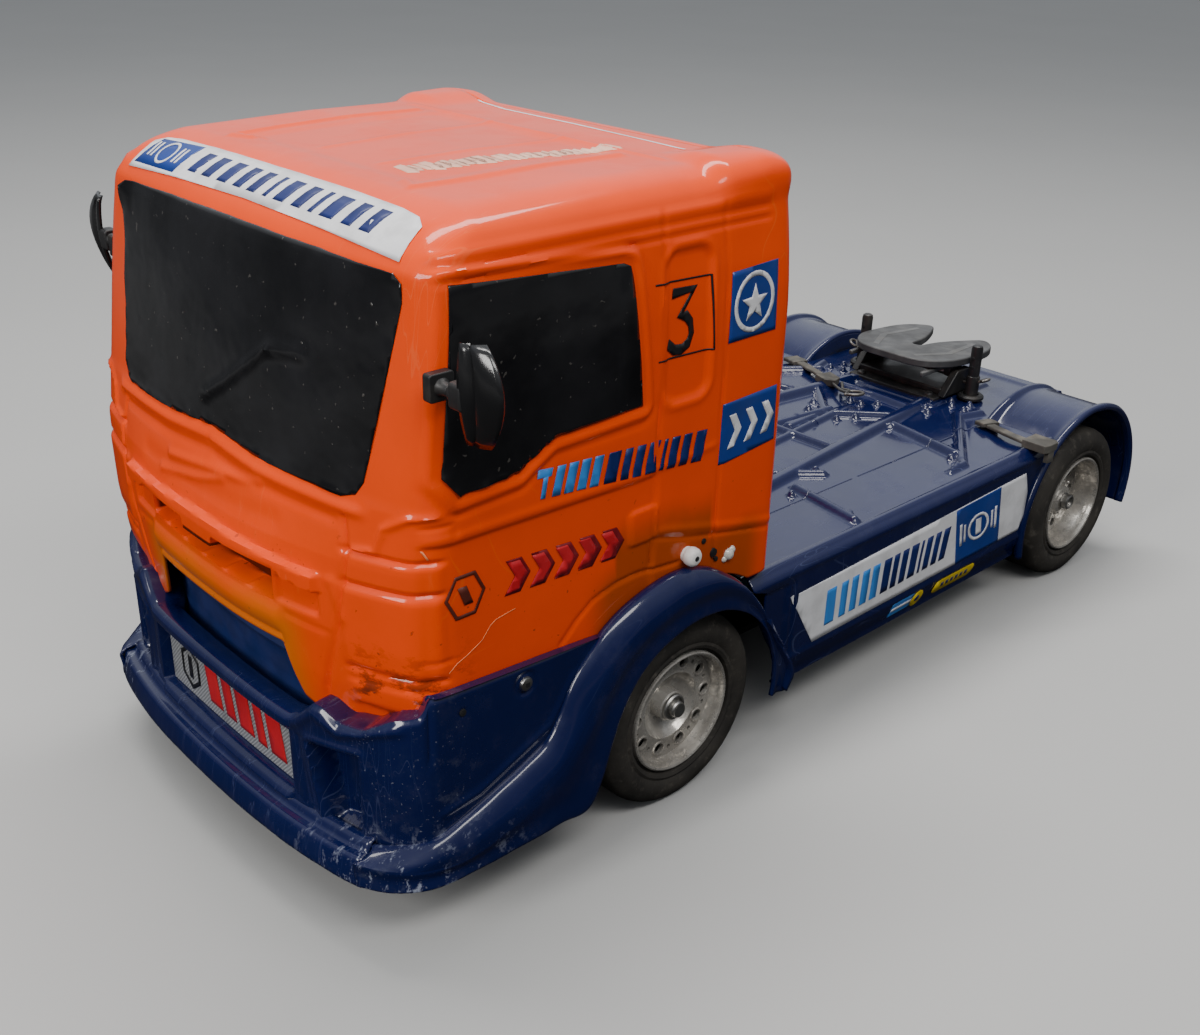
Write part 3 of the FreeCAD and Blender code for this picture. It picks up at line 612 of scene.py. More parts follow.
def nose_relief(y, z):
    """Raised bar, slot, ledge, lips and seams on the nose; only |y| matters for most."""
    a = np.abs(y)
    film_foot = np.interp(a, [0, 25.5, 48.5, 66], [141.4, 139.2, 138.6, 138.0])
    out = 1.0 * ridge(z - film_foot + 3.0, 1.7) * within(a, -1, 66, 3)
    out -= 0.6 * ridge(z - film_foot + 7.2, 1.5) * within(a, -1, 58, 3)
    out += 0.7 * ridge(line_distance(y, z, [(-22, 126.5), (0, 129.5), (27, 132.6)]), 1.5)
    out += 0.6 * ridge(line_distance(y, z, [(-27, 120.6), (-5, 124.5), (10, 128.6)]), 1.4)
    out -= 0.35 * ridge(line_distance(y, z, [(-38, 122), (-6, 121.4), (34, 124)]), 3.2)
    bar_top = np.interp(a, [0, 10, 52.4], [115.9, 115.6, 113.9])
    bar_foot = np.interp(a, [0, 8.2, 9.6, 37.7, 41, 52.4], [107.6, 107.6, 111.2, 111.4, 109.4, 108.4])
    out += 2.2 * within(z, bar_foot, bar_top, 0.35) * fade(52.2, 53.2, a)
    slot_foot = SLOT_FOOT - SLOT_SLOPE * y
    slot_top = np.minimum(bar_foot, 109.5) - 0.3
    out -= 7.0 * within(z, slot_foot, slot_top, 0.4) * fade(33.4, 34.4, a)
    out -= 1.2 * within(z, 100.4, 108.2, 0.6) * within(a, 36.0, 51.5, 0.9)
    out += 1.3 * np.clip(1.0 - ((z - 94.2) / 5.0) ** 2, 0, 1) * fade(35.0, 39.0, a)
    out -= 0.8 * ridge(z - 88.6, 0.8) * fade(35.0, 37.0, a)
    pane = line_distance(a, z, [(39.5, 97), (55.0, 96.0), (50.6, 76)])
    out -= 0.35 * ridge(pane, 0.9)
    out += 0.5 * ridge(line_distance(a, z, [(57.0, 113.0), (60.0, 103.0)]), 1.8)
    out -= 1.0 * ridge(line_distance(a, z, SEAM), 0.75)
    return out


def corner_relief(a, z):
    """Stacked lamp lenses wrapped round each front corner."""
    lens = smooth(58, 62, a)
    out = np.zeros(np.broadcast(a, z).shape)
    for height, depth, width in ((123.8, 0.9, 0.7), (114.0, 0.7, 0.7), (87.0, 0.9, 0.7), (83.6, 0.4, 0.6)):
        out -= depth * ridge(z - height, width)
    out += (0.5 * within(z, 115.2, 122.6, 0.8) + 0.7 * within(z, 88.6, 112.6, 1.4)
            + 0.4 * within(z, 76, 82.6, 0.8))
    out += 0.9 * ridge(line_distance(a, z, LENS_ARC), 0.9)
    out -= 1.3 * fade(74.2, 75.2, z)
    return out * lens * fade(137.5, 139.0, z)


def flank_relief(x, z):
    """Door gaps, belt crease, window beads and panel lines on a side."""
    out = -0.9 * ridge(x - 190.6, 0.65) * within(z, 70, 136.5, 1)
    belt = np.interp(x, [78, 112, 191.7], [128.6, 127.2, 129.0])
    out -= 0.75 * fade(belt - 0.9, belt + 0.5, z) * within(x, 106, 189.5, 0.8)
    out += 0.35 * ridge(z - belt - 1.8, 1.3) * within(x, 80, 189, 2)
    door_gap = np.interp(z, [98, 205], [106.0, 104.6])
    out -= 0.85 * ridge(x - door_gap, 0.6) * within(z, 97, 205, 0.8)
    panel_gap = np.interp(z, [86, 204], [77.6, 79.5])
    out -= 0.55 * ridge(x - panel_gap, 0.55) * within(z, 86, 204, 0.8)
    frame_out = loop_distance(x, z, WINDOW)
    out += 0.9 * ridge(frame_out - 3.0, 1.3)
    out -= 0.45 * ridge(frame_out - 5.6, 1.1) * within(z, 134, 199, 1)
    blank = loop_distance(x, z, round_box(85.5, 104.0, 148.6, 193.5, 5.0))
    out -= 0.9 * fade(-1.2, 0.5, blank)
    out += 0.5 * ridge(blank - 1.4, 1.0)
    handle = loop_distance(x, z, round_box(104.6, 116, 105.8, 117.6, 2.0))
    out += 0.9 * fade(-0.9, 0.5, handle)
    out -= 0.7 * ridge(line_distance(x, z, ARCH_CREASE), 0.7)
    out -= 0.5 * ridge(line_distance(x, z, [(104, 105.6), (90, 101.5), (70, 97.0), (50.6, 93.0)]), 0.6)
    out += 0.5 * ridge(line_distance(x, z, [(103, 108.0), (70, 99.8), (50.6, 95.8)]), 1.3)
    out -= 0.5 * ridge(z - 93.2, 0.6) * within(x, 181, 190, 0.6)
    out -= 0.45 * ridge(line_distance(x, z, [(189, 134.0), (181, 134.4), (180, 131)]), 0.7)
    for height, depth in ((206.2, 0.7), (201.0, 0.5), (197.4, 0.55)):
        out -= depth * ridge(z - height, 0.75) * within(x, 60, 186, 2)
    out += 0.6 * ridge(z - 203.7, 1.2) * within(x, 60, 184, 2)
    return out


def roof_relief(x, y):
    """Long shallow ridges, a sunken middle and the raised rear corners."""
    a = np.abs(y)
    out = 0.9 * ridge(line_distance(x, a, [(160, 40), (162.8, 47), (146, 49), (91, 50)]), 1.5)
    out -= 0.5 * within(x, 88, 158, 3) * fade(40, 46, a)
    out += 0.35 * ridge(line_distance(x, a, [(86, 18), (150, 15)]), 1.6)
    out += 0.5 * ridge(x - 84.5, 1.2) * fade(60, 66, a)
    return out


def corner_lift(x, y, z):
    """The roof's rear corners stand up in blunt ears."""
    return 2.4 * fade(75.0, 84.0, x) * smooth(52, 68, np.abs(y)) * smooth(200.0, 210.0, z)


def back_relief(y, z):
    """A shallow pressed frame and two ribs on the rear wall."""
    edge = loop_distance(y, z, round_box(-66, 66, 104, 196, 9))
    out = -1.4 * fade(-1.5, 1.0, edge)
    for height in (128.0, 150.0, 172.0):
        out += 1.2 * ridge(z - height, 2.6) * fade(50, 54, np.abs(y))
    return out


def relief(points, ways):
    """All pressed detail, taken from the way each ray faces."""
    x, y, z = points[..., 0], points[..., 1], points[..., 2]
    ahead, aside, up = ways[..., 0], np.abs(ways[..., 1]), ways[..., 2]
    level = fade(0.55, 0.9, up)
    out = nose_relief(y, z) * smooth(0.25, 0.6, ahead) * level
    out = out + corner_relief(np.abs(y), z) * smooth(0.05, 0.3, ahead) * level
    out = out + flank_relief(x, z) * smooth(0.55, 0.85, aside + 0.45 * up) * level
    out = out + roof_relief(x, y) * smooth(0.6, 0.95, up)
    out = out + back_relief(y, z) * smooth(0.5, 0.85, -ahead) * level
    return out + corner_lift(x, y, z) * smooth(0.15, 0.7, up)


def cab_point(starts, ways, offset=0.0):
    """A relief-bearing surface point, moved out along its ray."""
    ways = ways / np.linalg.norm(ways, axis=-1, keepdims=True)
    met = cast(starts, ways)
    return met + ways * (relief(met, ways) + offset)[..., None]


def on_nose(y, z, offset=0.0):
    """Points of the nose's outside at places seen from the front."""
    y, z = np.broadcast_arrays(np.asarray(y, float), np.asarray(z, float))
    starts = np.stack([core_front(z), y, z], -1)
    return cab_point(starts, np.broadcast_to([1.0, 0.0, 0.0], starts.shape), offset)


def on_flank(x, z, side, offset=0.0):
    """Points of a side's outside at places seen from that side."""
    x, z = np.broadcast_arrays(np.asarray(x, float), np.asarray(z, float))
    starts = np.stack([x, np.full(x.shape, side * CAB_CORE_Y), z], -1)
    return cab_point(starts, np.broadcast_to([0.0, float(side), 0.0], starts.shape), offset)


def on_roof(x, y, offset=0.0):
    """Points of the roof's outside at places seen from above."""
    x, y = np.broadcast_arrays(np.asarray(x, float), np.asarray(y, float))
    starts = np.stack([x, y, np.full(x.shape, CAB_CORE_TOP - 6.0)], -1)
    return cab_point(starts, np.broadcast_to([0.0, 0.0, 1.0], starts.shape), offset)


def cab_foot(point):
    """Height of the cab's lower edge under a place on its outside."""
    x, a = point[0], abs(point[1])
    if x < CAB_REAR + 6 and a < 70:
        return 77.0
    if x > 186 or a < 60:
        return float(np.interp(a, [0, 36, 38.5, 41, 46, 51, 60, 80, 86],
                               [86.5, 86.5, 76, 69.5, 67, 68.5, 68.5, 71, 76.5]))
    reach = 50.0 ** 2 - (x - WHEEL_X) ** 2
    return max(76.5, WHEEL_Z + math.sqrt(reach) if reach > 0 else 0.0)


def cab_columns():
    """(kind, place, angle) of every upright line of the shell, right round."""
    front = [("nose", y, 0.0) for y in np.linspace(-CAB_CORE_Y, CAB_CORE_Y, NOSE_COLUMNS)]
    flank = np.linspace(1.0, 0.0, 118)
    turn = np.linspace(0.0, 90.0, 15)[1:-1]
    back = [("back", y, 180.0) for y in np.linspace(CAB_CORE_Y, -CAB_CORE_Y, 50)]
    columns = front + [("fore", 1, t) for t in turn] + [("flank", (1, u), 90.0) for u in flank]
    columns += [("aft", 1, 90 + t) for t in turn] + back + [("aft", -1, 180 + t) for t in turn]
    columns += [("flank", (-1, u), 270.0) for u in flank[::-1]] + [("fore", -1, 270 + t) for t in turn]
    return columns


def column_start(column, z):
    """Where one upright line's ray starts at a height."""
    kind, place, _ = column
    if kind in ("nose", "back"):
        return (float(core_front(z)) if kind == "nose" else CAB_CORE_REAR, place, z)
    if kind == "flank":
        side, share = place
        return (CAB_CORE_REAR + share * (float(core_front(z)) - CAB_CORE_REAR), side * CAB_CORE_Y, z)
    return (float(core_front(z)) if kind == "fore" else CAB_CORE_REAR, place * CAB_CORE_Y, z)


def cab_shell():
    """The whole lexan cab: rows of rays from the sill's edge up, round the shoulders, then the roof."""
    columns = cab_columns()
    aim = np.array([[math.cos(math.radians(c[2])), math.sin(math.radians(c[2])), 0.0] for c in columns])
    sill = np.array([column_start(c, CAB_SILL) for c in columns])
    feet = np.array([cab_foot(point) for point in cast(sill, aim)])
    rows = []
    for share in np.linspace(0.0, 1.0, 34)[:-1]:
        heights = feet + share * (CAB_SILL - feet)
        rows.append(np.array([column_start(c, h) for c, h in zip(columns, heights)]))
    for height in list(np.arange(CAB_SILL, 138.0, 0.6)) + list(np.arange(138.0, CAB_CORE_TOP, 1.15)):
        rows.append(np.array([column_start(c, float(height)) for c in columns]))
    starts = np.array(rows)
    ways = np.broadcast_to(aim, starts.shape)
    top = np.array([column_start(c, CAB_CORE_TOP) for c in columns])
    fan = np.radians(np.linspace(0.0, 90.0, 21))
    fan_ways = np.array([aim * math.cos(f) + np.array([0, 0, math.sin(f)]) for f in fan])
    starts = np.concatenate([starts, np.broadcast_to(top, fan_ways.shape)])
    ways = np.concatenate([ways, fan_ways])
    build = Build().grid(cab_point(starts, ways), True)
    across = np.linspace(-CAB_CORE_Y, CAB_CORE_Y, NOSE_COLUMNS)
    along = CAB_CORE_REAR + np.linspace(0.0, 1.0, 118) * (float(core_front(CAB_CORE_TOP)) - CAB_CORE_REAR)
    grid_x, grid_y = np.meshgrid(along, across, indexing="ij")
    starts = np.stack([grid_x, grid_y, np.full(grid_x.shape, CAB_CORE_TOP)], -1)
    build.grid(cab_point(starts, np.broadcast_to([0.0, 0.0, 1.0], starts.shape)))
    return piece("cab_body", build, PAINT["orange"], stands_for=["cab_shell"],
                 wall=CAB_WALL, sharp=50.0, weld=0.02)


def patch(outline, step):
    """A flat outline cut into a fine net of faces: its points and faces."""
    work = bmesh.new()
    work.faces.new([work.verts.new((u, v, 0.0)) for u, v in outline])
    for index in (0, 1):
        values = [point[index] for point in outline]
        normal = Vector((1, 0, 0)) if index == 0 else Vector((0, 1, 0))
        for line in range(math.ceil(min(values) / step), math.floor(max(values) / step) + 1):
            bmesh.ops.bisect_plane(work, geom=work.verts[:] + work.edges[:] + work.faces[:],
                                   plane_co=normal * line * step, plane_no=normal)
    work.verts.index_update()
    flat = np.array([(vert.co.x, vert.co.y) for vert in work.verts])
    faces = [tuple(vert.index for vert in face.verts) for face in work.faces]
    work.free()
    return flat, faces


def drape(build, outline, onto, offset=0.25, step=3.0, mark=0, sway=None):
    """Lays a flat outline on the cab; onto turns (u, v, offset) into points."""
    flat, faces = patch(outline, step)
    lift = offset if sway is None else offset + sway(flat[:, 0], flat[:, 1])
    return build.add(onto(flat[:, 0], flat[:, 1], lift), faces, mark)


def left_flank(u, v, offset):
    return on_flank(u, v, 1, offset)


def right_flank(u, v, offset):
    return on_flank(u, v, -1, offset)


def ripple(u, v, size, seed=0.0):
    """A seeded waviness for films and stickers."""
    values = [noise.noise(Vector((a / size, b / size, seed))) for a, b in zip(u, v)]
    return np.array(values)


WIPER = [(-5.6, 148.8), (6.3, 156.1), (25.3, 170.0)]
WIPER_TIP = [(25.3, 170.0), (39.2, 171.9)]


def screen_sway(y, z):
    """The film's waves, its crimped rim, a lifted corner and the wiper pressed through it."""
    lifted = 2.4 * smooth(-63, -72, y) * smooth(186, 199, z)
    blade = 0.9 * ridge(line_distance(y, z, WIPER), 1.2) + 0.7 * ridge(line_distance(y, z, WIPER_TIP), 1.6)
    edge = loop_distance(y, z, SCREEN)
    crimp = 0.35 * ridge(edge, 2.2) * ripple(y, z, 5.0, 2.0)
    return lifted + blade + 0.35 * ripple(y, z, 22.0) + crimp


def window_sway(x, z):
    """The side film's waves, a fold and its torn lower front corner."""
    edge = loop_distance(x, z, WINDOW)
    torn = fade(148, 158, z) * smooth(135, 150, x)
    ragged = 0.8 * ridge(edge, 3.0) * ripple(x, z, 4.0, 5.0) * torn
    fold = 0.5 * ridge(line_distance(x, z, [(122, 152), (119.6, 190)]), 0.8)
    return 0.25 * ripple(x, z, 16.0, 3.0) + ragged + fold


def window_films():
    """Black film over the windscreen and both side windows."""
    screen = drape(Build(), SCREEN, on_nose, 0.35, 1.6, sway=screen_sway)
    piece("windscreen_black_film", screen, PAINT["film"], stands_for=["windscreen_film"],
          wall=0.15, closed=False)
    for side, name in ((left_flank, "left"), (right_flank, "right")):
        pane = drape(Build(), WINDOW, side, 0.35, 1.5, sway=window_sway)
        piece(name + "_window_black_film", pane, PAINT["film"], stands_for=["side_window_films"],
              wall=0.15, closed=False)


cab_shell()
window_films()


# ---------------------------------------------------------------- bumper, lip, plate and fender flares

PLATE_Z = (38.0, 60.0)
PLATE_HALF = 40.0
LAMP = [(50.2, 60.5), (68.5, 62.6), (68.6, 36.5), (66.5, 34.6), (57.6, 33.0), (55.6, 34.0)]


def rounded_path(points, rounds=3):
    """Cuts an open path's corners a few times; its ends stay."""
    for _ in range(rounds):
        cut = [points[0]]
        for (au, av), (bu, bv) in zip(points, points[1:]):
            cut.append((au * 0.75 + bu * 0.25, av * 0.75 + bv * 0.25))
            cut.append((au * 0.25 + bu * 0.75, av * 0.25 + bv * 0.75))
        points = cut + [points[-1]]
    return points


def even_path(points, step):
    """The same path with evenly spaced points."""
    points = np.asarray(points, float)
    lengths = np.concatenate([[0.0], np.cumsum(np.linalg.norm(np.diff(points, axis=0), axis=1))])
    spots = np.linspace(0.0, lengths[-1], max(2, int(round(lengths[-1] / step)) + 1))
    return np.stack([np.interp(spots, lengths, points[:, i]) for i in range(points.shape[1])], -1)


def spline(points, per_span):
    """A smooth curve through the points, with per_span pieces between each pair."""
    points = np.asarray(points, float)
    padded = np.concatenate([[2 * points[0] - points[1]], points, [2 * points[-1] - points[-2]]])
    curve = []
    for i in range(1, len(padded) - 2):
        before, start, end, after = padded[i - 1:i + 3]
        for step in range(per_span):
            t = step / per_span
            bend = 2 * before - 5 * start + 4 * end - after
            twist = 3 * start - before - 3 * end + after
            curve.append(0.5 * (2 * start + (end - before) * t + bend * t * t + twist * t ** 3))
    curve.append(points[-1])
    return np.array(curve)


def bumper_plan():
    """The bumper's outside seen from above, left rear round the nose to right rear."""
    half = [(128, 87), (183, 87), (192.5, 86.2), (199.6, 78.5), (206, 62), (210, 42), (211, 14), (211, 0)]
    left = rounded_path(half, 2)
    return even_path(left + [(x, -y) for x, y in left[-2::-1]], 0.8)


def plan_outward(plan):
    """Unit vectors square to a plan path, pointing forward and away from the truck's middle."""
    ahead = np.gradient(plan, axis=0)
    outward = np.stack([-ahead[:, 1], ahead[:, 0]], -1) / np.linalg.norm(ahead, axis=1)[:, None]
    facing = outward[:, 0] + outward[:, 1] * np.sign(plan[:, 1])
    return outward * np.where(facing < 0, -1.0, 1.0)[:, None]


def bumper_relief(x, y, z):
    """Plate recess, bars, lamp recesses and side marks of the bumper."""
    a = np.abs(y)
    nose = smooth(196, 200, x)
    plate = within(z, PLATE_Z[0], PLATE_Z[1], 0.5) * fade(PLATE_HALF - 0.3, PLATE_HALF + 1.8, a)
    out = -4.6 * plate
    out += 1.3 * within(z, 61.8, 66.5, 0.8) * fade(41, 45, a)
    out += 1.5 * ridge(z - 35.6, 1.7) * fade(39, 42, a)
    out -= 1.6 * ridge(z - 31.4, 1.5) * fade(42, 50, a)
    lamp = loop_distance(a, z, LAMP)
    out -= (7.0 * fade(-3.0, 0.2, lamp) - 0.7 * ridge(lamp - 1.4, 1.2)) * nose
    out += 0.9 * ridge(line_distance(a, z, [(50.5, 58), (57.5, 36)]), 1.2) * nose * (lamp > 0)
    out -= 0.5 * ridge(line_distance(a, z, [(45.2, 60), (48, 38), (56, 29)]), 1.0) * nose
    brow = line_distance(a, z, [(45, 64.5), (53, 71.2), (62, 68), (80, 74.5)])
    out += 0.8 * ridge(brow, 1.6) * smooth(186, 190, x)
    flank = fade(186, 190, x)
    out -= 0.7 * ridge(x - 191.0, 0.7) * smooth(60, 66, z)
    out -= 0.8 * ridge(np.hypot(x - 180.2, z - 76.6), 1.0) * flank
    out -= 0.6 * ridge(np.hypot(x - 157.5, z - 76.6) - 3.2, 0.9) * flank
    out += 0.6 * ridge(line_distance(x, z, [(190, 45), (175, 47.2), (148, 58.4), (139, 72)]), 1.5) * flank
    return out


def bumper_edges(x, y):
    """Lower and upper edge of the bumper at places along its plan."""
    a = np.abs(y)
    along = np.where(x > 193, 0.0, 193.0 - x)
    nose_low = np.interp(a, [0, 60, 65.4, 80, 87], [25, 25, 26, 31, 34])
    side_low = np.interp(along, [0, 18, 45, 54, 65], [34, 37, 49, 64, 79.2])
    nose_high = np.interp(a, [0, 42, 46, 53, 56, 62, 70, 79.4, 86],
                          [66, 66, 68, 74.2, 74.0, 70.6, 71.5, 77.3, 79])
    side_high = np.interp(along, [0, 0.8, 2.2, 65], [79, 80, 84.6, 81])
    return np.where(x > 193, nose_low, side_low), np.where(x > 193, nose_high, side_high)


def front_bumper():
    """The bumper wrapped round the nose, with a ledge that turns in along its upper edge."""
    plan = bumper_plan()
    outward = plan_outward(plan)
    low, high = bumper_edges(plan[:, 0], plan[:, 1])
    rows = []
    for share in np.linspace(0.0, 1.0, 92):
        z = low + share * (high - low)
        rolled = 1.0 * ridge(share - 1.0, 0.02)
        out = bumper_relief(plan[:, 0], plan[:, 1], z) - rolled - 0.8 * ridge(share, 0.02)
        place = plan + outward * out[:, None]
        rows.append(np.column_stack([place, z]))
    middle = fade(38, 50, np.abs(plan[:, 1]))
    nose = smooth(188, 196, plan[:, 0])
    for inward, drop in ((1.6, -0.3), (4.0, 0.2), (7.0, 0.8), (9.0, 3.5), (9.6, 9.0)):
        reach = inward * (0.25 + 0.75 * nose + 0.4 * nose * (1.0 - middle))
        place = plan - outward * reach[:, None]
        rows.append(np.column_stack([place, high - drop * (0.4 + 0.6 * middle)]))
    build = Build().grid(np.array(rows), away=(100, 0, 45))
    piece("bumper_shell", build, PAINT["blue"], stands_for=["front_bumper"], wall=1.0,
          sharp=48.0, closed=False)


def nose_back_panel():
    """The blue panel seen through the nose's lower opening."""
    rows = []
    for z in np.arange(34.0, 96.1, 1.0):
        row = []
        for y in np.linspace(-74, 74, 106):
            rib = 1.1 * float(ridge(z - 78.0, 1.6)) + 0.8 * float(ridge(z - 88.0, 1.4))
            setback = 6.6 + 3.5 * float(smooth(46, 56, abs(y))) + 4.0 * float(smooth(60, 74, abs(y)))
            row.append((float(cab_front(y, max(z, 66.0))) - setback + rib, y, z))
        rows.append(row)
    piece("nose_inner_panel", Build().grid(rows, away=(100, 0, 75)), PAINT["blue_under"],
          stands_for=["grille_insert"], wall=1.2, closed=False)


def woven_silver():
    """Silver film with a fine crossed weave."""
    nodes = Nodes("woven_silver")
    across = nodes.math("SINE", nodes.times(nodes.axis("Y"), 4.4))
    upward = nodes.math("SINE", nodes.times(nodes.axis("Z"), 4.4))
    weave = nodes.times(across, upward)
    tone = nodes.mix(nodes.ramp(weave, -0.6, 0.6), (0.22, 0.23, 0.24), (0.62, 0.63, 0.65))
    tone = nodes.stain(tone, nodes.ramp(nodes.noise(110.0, 7.0), 0.55, 0.7), 0.4, (0.12, 0.11, 0.10))
    nodes.bump(weave, 0.6, 0.12)
    return nodes.finish(tone, 0.34, 0.35, 0.2)


def plate_point(y, z, offset=0.0):
    """Points of the plate, which is bowed a little across."""
    fall = (np.abs(y) / 60.0) ** 2 * 1.6
    return np.stack([207.3 - fall + offset, y, z], -1)


def hexagon_ring(centre, reach_u, reach_v, hole, start=0):
    """A hexagon's outline as six four-sided pieces; hole is the inner hexagon's share of its size."""
    outer = []
    inner = []
    for k in range(6):
        angle = math.radians(60 * k + start)
        u = centre[0] + reach_u * math.cos(angle)
        v = centre[1] + reach_v * math.sin(angle)
        outer.append((u, v))
        inner.append((centre[0] + (u - centre[0]) * hole, centre[1] + (v - centre[1]) * hole))
    return [[outer[k], outer[(k + 1) % 6], inner[(k + 1) % 6], inner[k]] for k in range(6)]


def number_plate():
    """Woven film plate with a dark hexagon outline and plain red slanted bars."""
    film = [(-39.2, 38.6), (39.2, 38.6), (39.2, 59.4), (-39.2, 59.4)]
    build = drape(Build(), film, plate_point, 0.0, 3.0)
    mid_y, mid_z, size = -25.0, 49.2, 8.6
    stem = [(mid_y - 1.2, mid_z - 4.2), (mid_y + 1.2, mid_z - 4.2), (mid_y + 1.2, mid_z + 4.2),
            (mid_y - 1.2, mid_z + 4.2)]
    for outline in hexagon_ring((mid_y, mid_z), 0.82 * size, size, 0.80, 30) + [stem]:
        drape(build, outline, plate_point, 0.22, 4.0, mark=1)
    for start, width in ((-12.0, 8.0), (-1.5, 6.0), (7.0, 8.5), (18.0, 5.0), (25.5, 8.5)):
        bar = [(start, 42.6), (start + width, 42.6), (start + width - 2.6, 57.0), (start - 2.6, 57.0)]
        drape(build, bar, plate_point, 0.22, 4.0, mark=2)
    piece("plate_film", build, [PAINT["silver"], PAINT["sticker_black"], PAINT["sticker_red"]],
          stands_for=["number_plate"], wall=0.15, closed=False)


LIP_SECTION = [(-2.5, 36.2), (0.2, 35.6), (1.6, 33.4), (3.0, 33.0), (4.4, 32.8), (5.3, 31.6), (6.2, 28.0),
               (6.6, 25.2), (6.2, 24.0), (5.2, 23.4), (3.0, 23.8), (0.0, 26.0)]
LIP_PLAN = [(203.8, 73.5), (206.0, 66), (208.4, 52), (210.2, 36), (211.0, 16), (211.2, 0)]


def front_lip():
    """The centre lip: a ledge, a soft crease and a thin lower edge, between the two flare seams."""
    half = even_path(rounded_path(LIP_PLAN, 2), 1.6)
    plan = np.concatenate([half, [(x, -y) for x, y in half[-2::-1]]])
    outward = plan_outward(plan)
    wobble = np.array([noise.noise(Vector((x / 9.0, y / 9.0, 1.5))) for x, y in plan])
    rows = []
    for index, (out, z) in enumerate(LIP_SECTION):
        chip = wobble * (0.5 if index > 5 else 0.15)
        place = plan + outward * (out + 0.3 * chip)[:, None]
        rows.append(np.column_stack([place, z + chip]))
    lip = spline_rows(np.array(rows), 3)
    piece("nose_lip", Build().grid(lip, away=(120, 0, 40)), PAINT["blue"], stands_for=["front_lip"],
          wall=1.1, sharp=44.0, closed=False)


def spline_rows(rows, per_span):
    """Smooth rows between the given rows of points."""
    shape = rows.shape
    return spline(rows.reshape(shape[0], -1), per_span).reshape(-1, *shape[1:])


ARCH_GAP = 39.5
# inner line, crease and opening edge, from the nose seam back over the wheel
FLARE = [
    ((204.0, 72.5, 34.6), (211.0, 74.2, 32.6), (210.2, 74.8, 24.0)),
    ((199.0, 79.0, 35.4), (205.4, 82.2, 31.6), (204.0, 83.2, 23.6)),
    ((191.5, 86.3, 37.8), (196.0, 89.0, 30.6), (194.0, 90.0, 23.6)),
    ((181.0, 87.0, 41.0), (184.0, 91.9, 30.4), (180.0, 91.6, 23.8)),
    ((169.0, 87.0, 45.2), (170.0, 92.6, 33.6), (164.0, 92.0, 24.0)),
    ((158.5, 87.0, 49.2), (158.5, 92.8, 37.6), (148.0, 91.8, 24.0)),
    ((150.5, 87.0, 53.2), (148.5, 92.8, 42.4), (134.0, 91.4, 24.2)),
    ((145.6, 87.0, 60.0), (142.0, 92.8, 48.6), None),
    ((140.8, 87.0, 69.0), (136.0, 92.8, 56.4), None),
    ((134.6, 87.0, 76.2), (129.8, 92.8, 65.4), None),
    ((126.0, 87.0, 83.6), (121.4, 92.8, 74.2), None),
    ((113.0, 87.0, 89.4), (109.0, 92.8, 81.0), None),
    ((98.3, 87.0, 92.2), (95.0, 92.8, 84.2), None),
    ((86.0, 87.0, 90.6), (81.0, 92.8, 83.8), None),
    ((74.0, 87.0, 84.6), (69.0, 92.8, 78.6), None),
    ((63.4, 87.0, 75.6), (59.4, 92.6, 68.4), None),
    ((55.6, 87.2, 63.6), (51.8, 92.4, 57.0), None),
    ((48.4, 87.6, 50.4), (45.0, 92.2, 46.0), None),
    ((42.0, 88.0, 38.0), (38.6, 91.8, 34.4), None),
    ((41.6, 88.0, 29.0), (40.6, 90.8, 26.6), None),
]


def flare_sections():
    """The opening edge follows the wheel wherever the table leaves it out."""
    sections = []
    for inner, crease, edge in FLARE:
        if edge is None:
            angle = math.atan2(crease[2] - WHEEL_Z, crease[0] - WHEEL_X)
            edge = (WHEEL_X + ARCH_GAP * math.cos(angle), 91.6, WHEEL_Z + ARCH_GAP * math.sin(angle))
        inner, crease, edge = (np.array(p, float) for p in (inner, crease, edge))
        tuck = inner + [0, -0.9, 0]
        step_up = inner + 0.05 * (crease - inner) + [0, 1.7, 0]
        slope = inner + 0.55 * (crease - inner) + [0, 1.9, 0]
        before = crease + 0.10 * (inner - crease) + [0, 0.5, 0]
        after = crease + 0.14 * (edge - crease) + [0, 0.1, 0]
        belly = 0.5 * (crease + edge) - [0, 0.5, 0]
        rim = edge + 0.10 * (crease - edge) + [0, 0.35, 0]
        back = edge + [0, -1.2, 0]
        sections.append([tuck, step_up, slope, before, crease, after, belly, rim, edge, back])
    return np.array(sections)


def fender_flares():
    """Both flares, with the slack of thin lexan."""
    curve = spline_rows(flare_sections(), 9)
    columns = np.swapaxes(curve, 0, 1)
    left = Build().grid(spline_rows(columns, 3), away=(110, 40, 40))
    left.moved(lambda p: p + Vector((0, 0.35 * noise.noise(p / 14.0), 0.25 * noise.noise(p / 11.0))))
    for build, name in ((left, "left"), (left.mirrored(), "right")):
        piece(name + "_flare_shell", build, PAINT["blue_worn"], stands_for=[name + "_fender_flare"],
              wall=1.0, sharp=55.0, closed=False)


PAINT["silver"] = woven_silver()
PAINT["blue_worn"] = blue_paint("blue_worn", 1.0)
front_bumper()
nose_back_panel()
number_plate()
front_lip()
fender_flares()


# ---------------------------------------------------------------- rear deck, skirts and arches

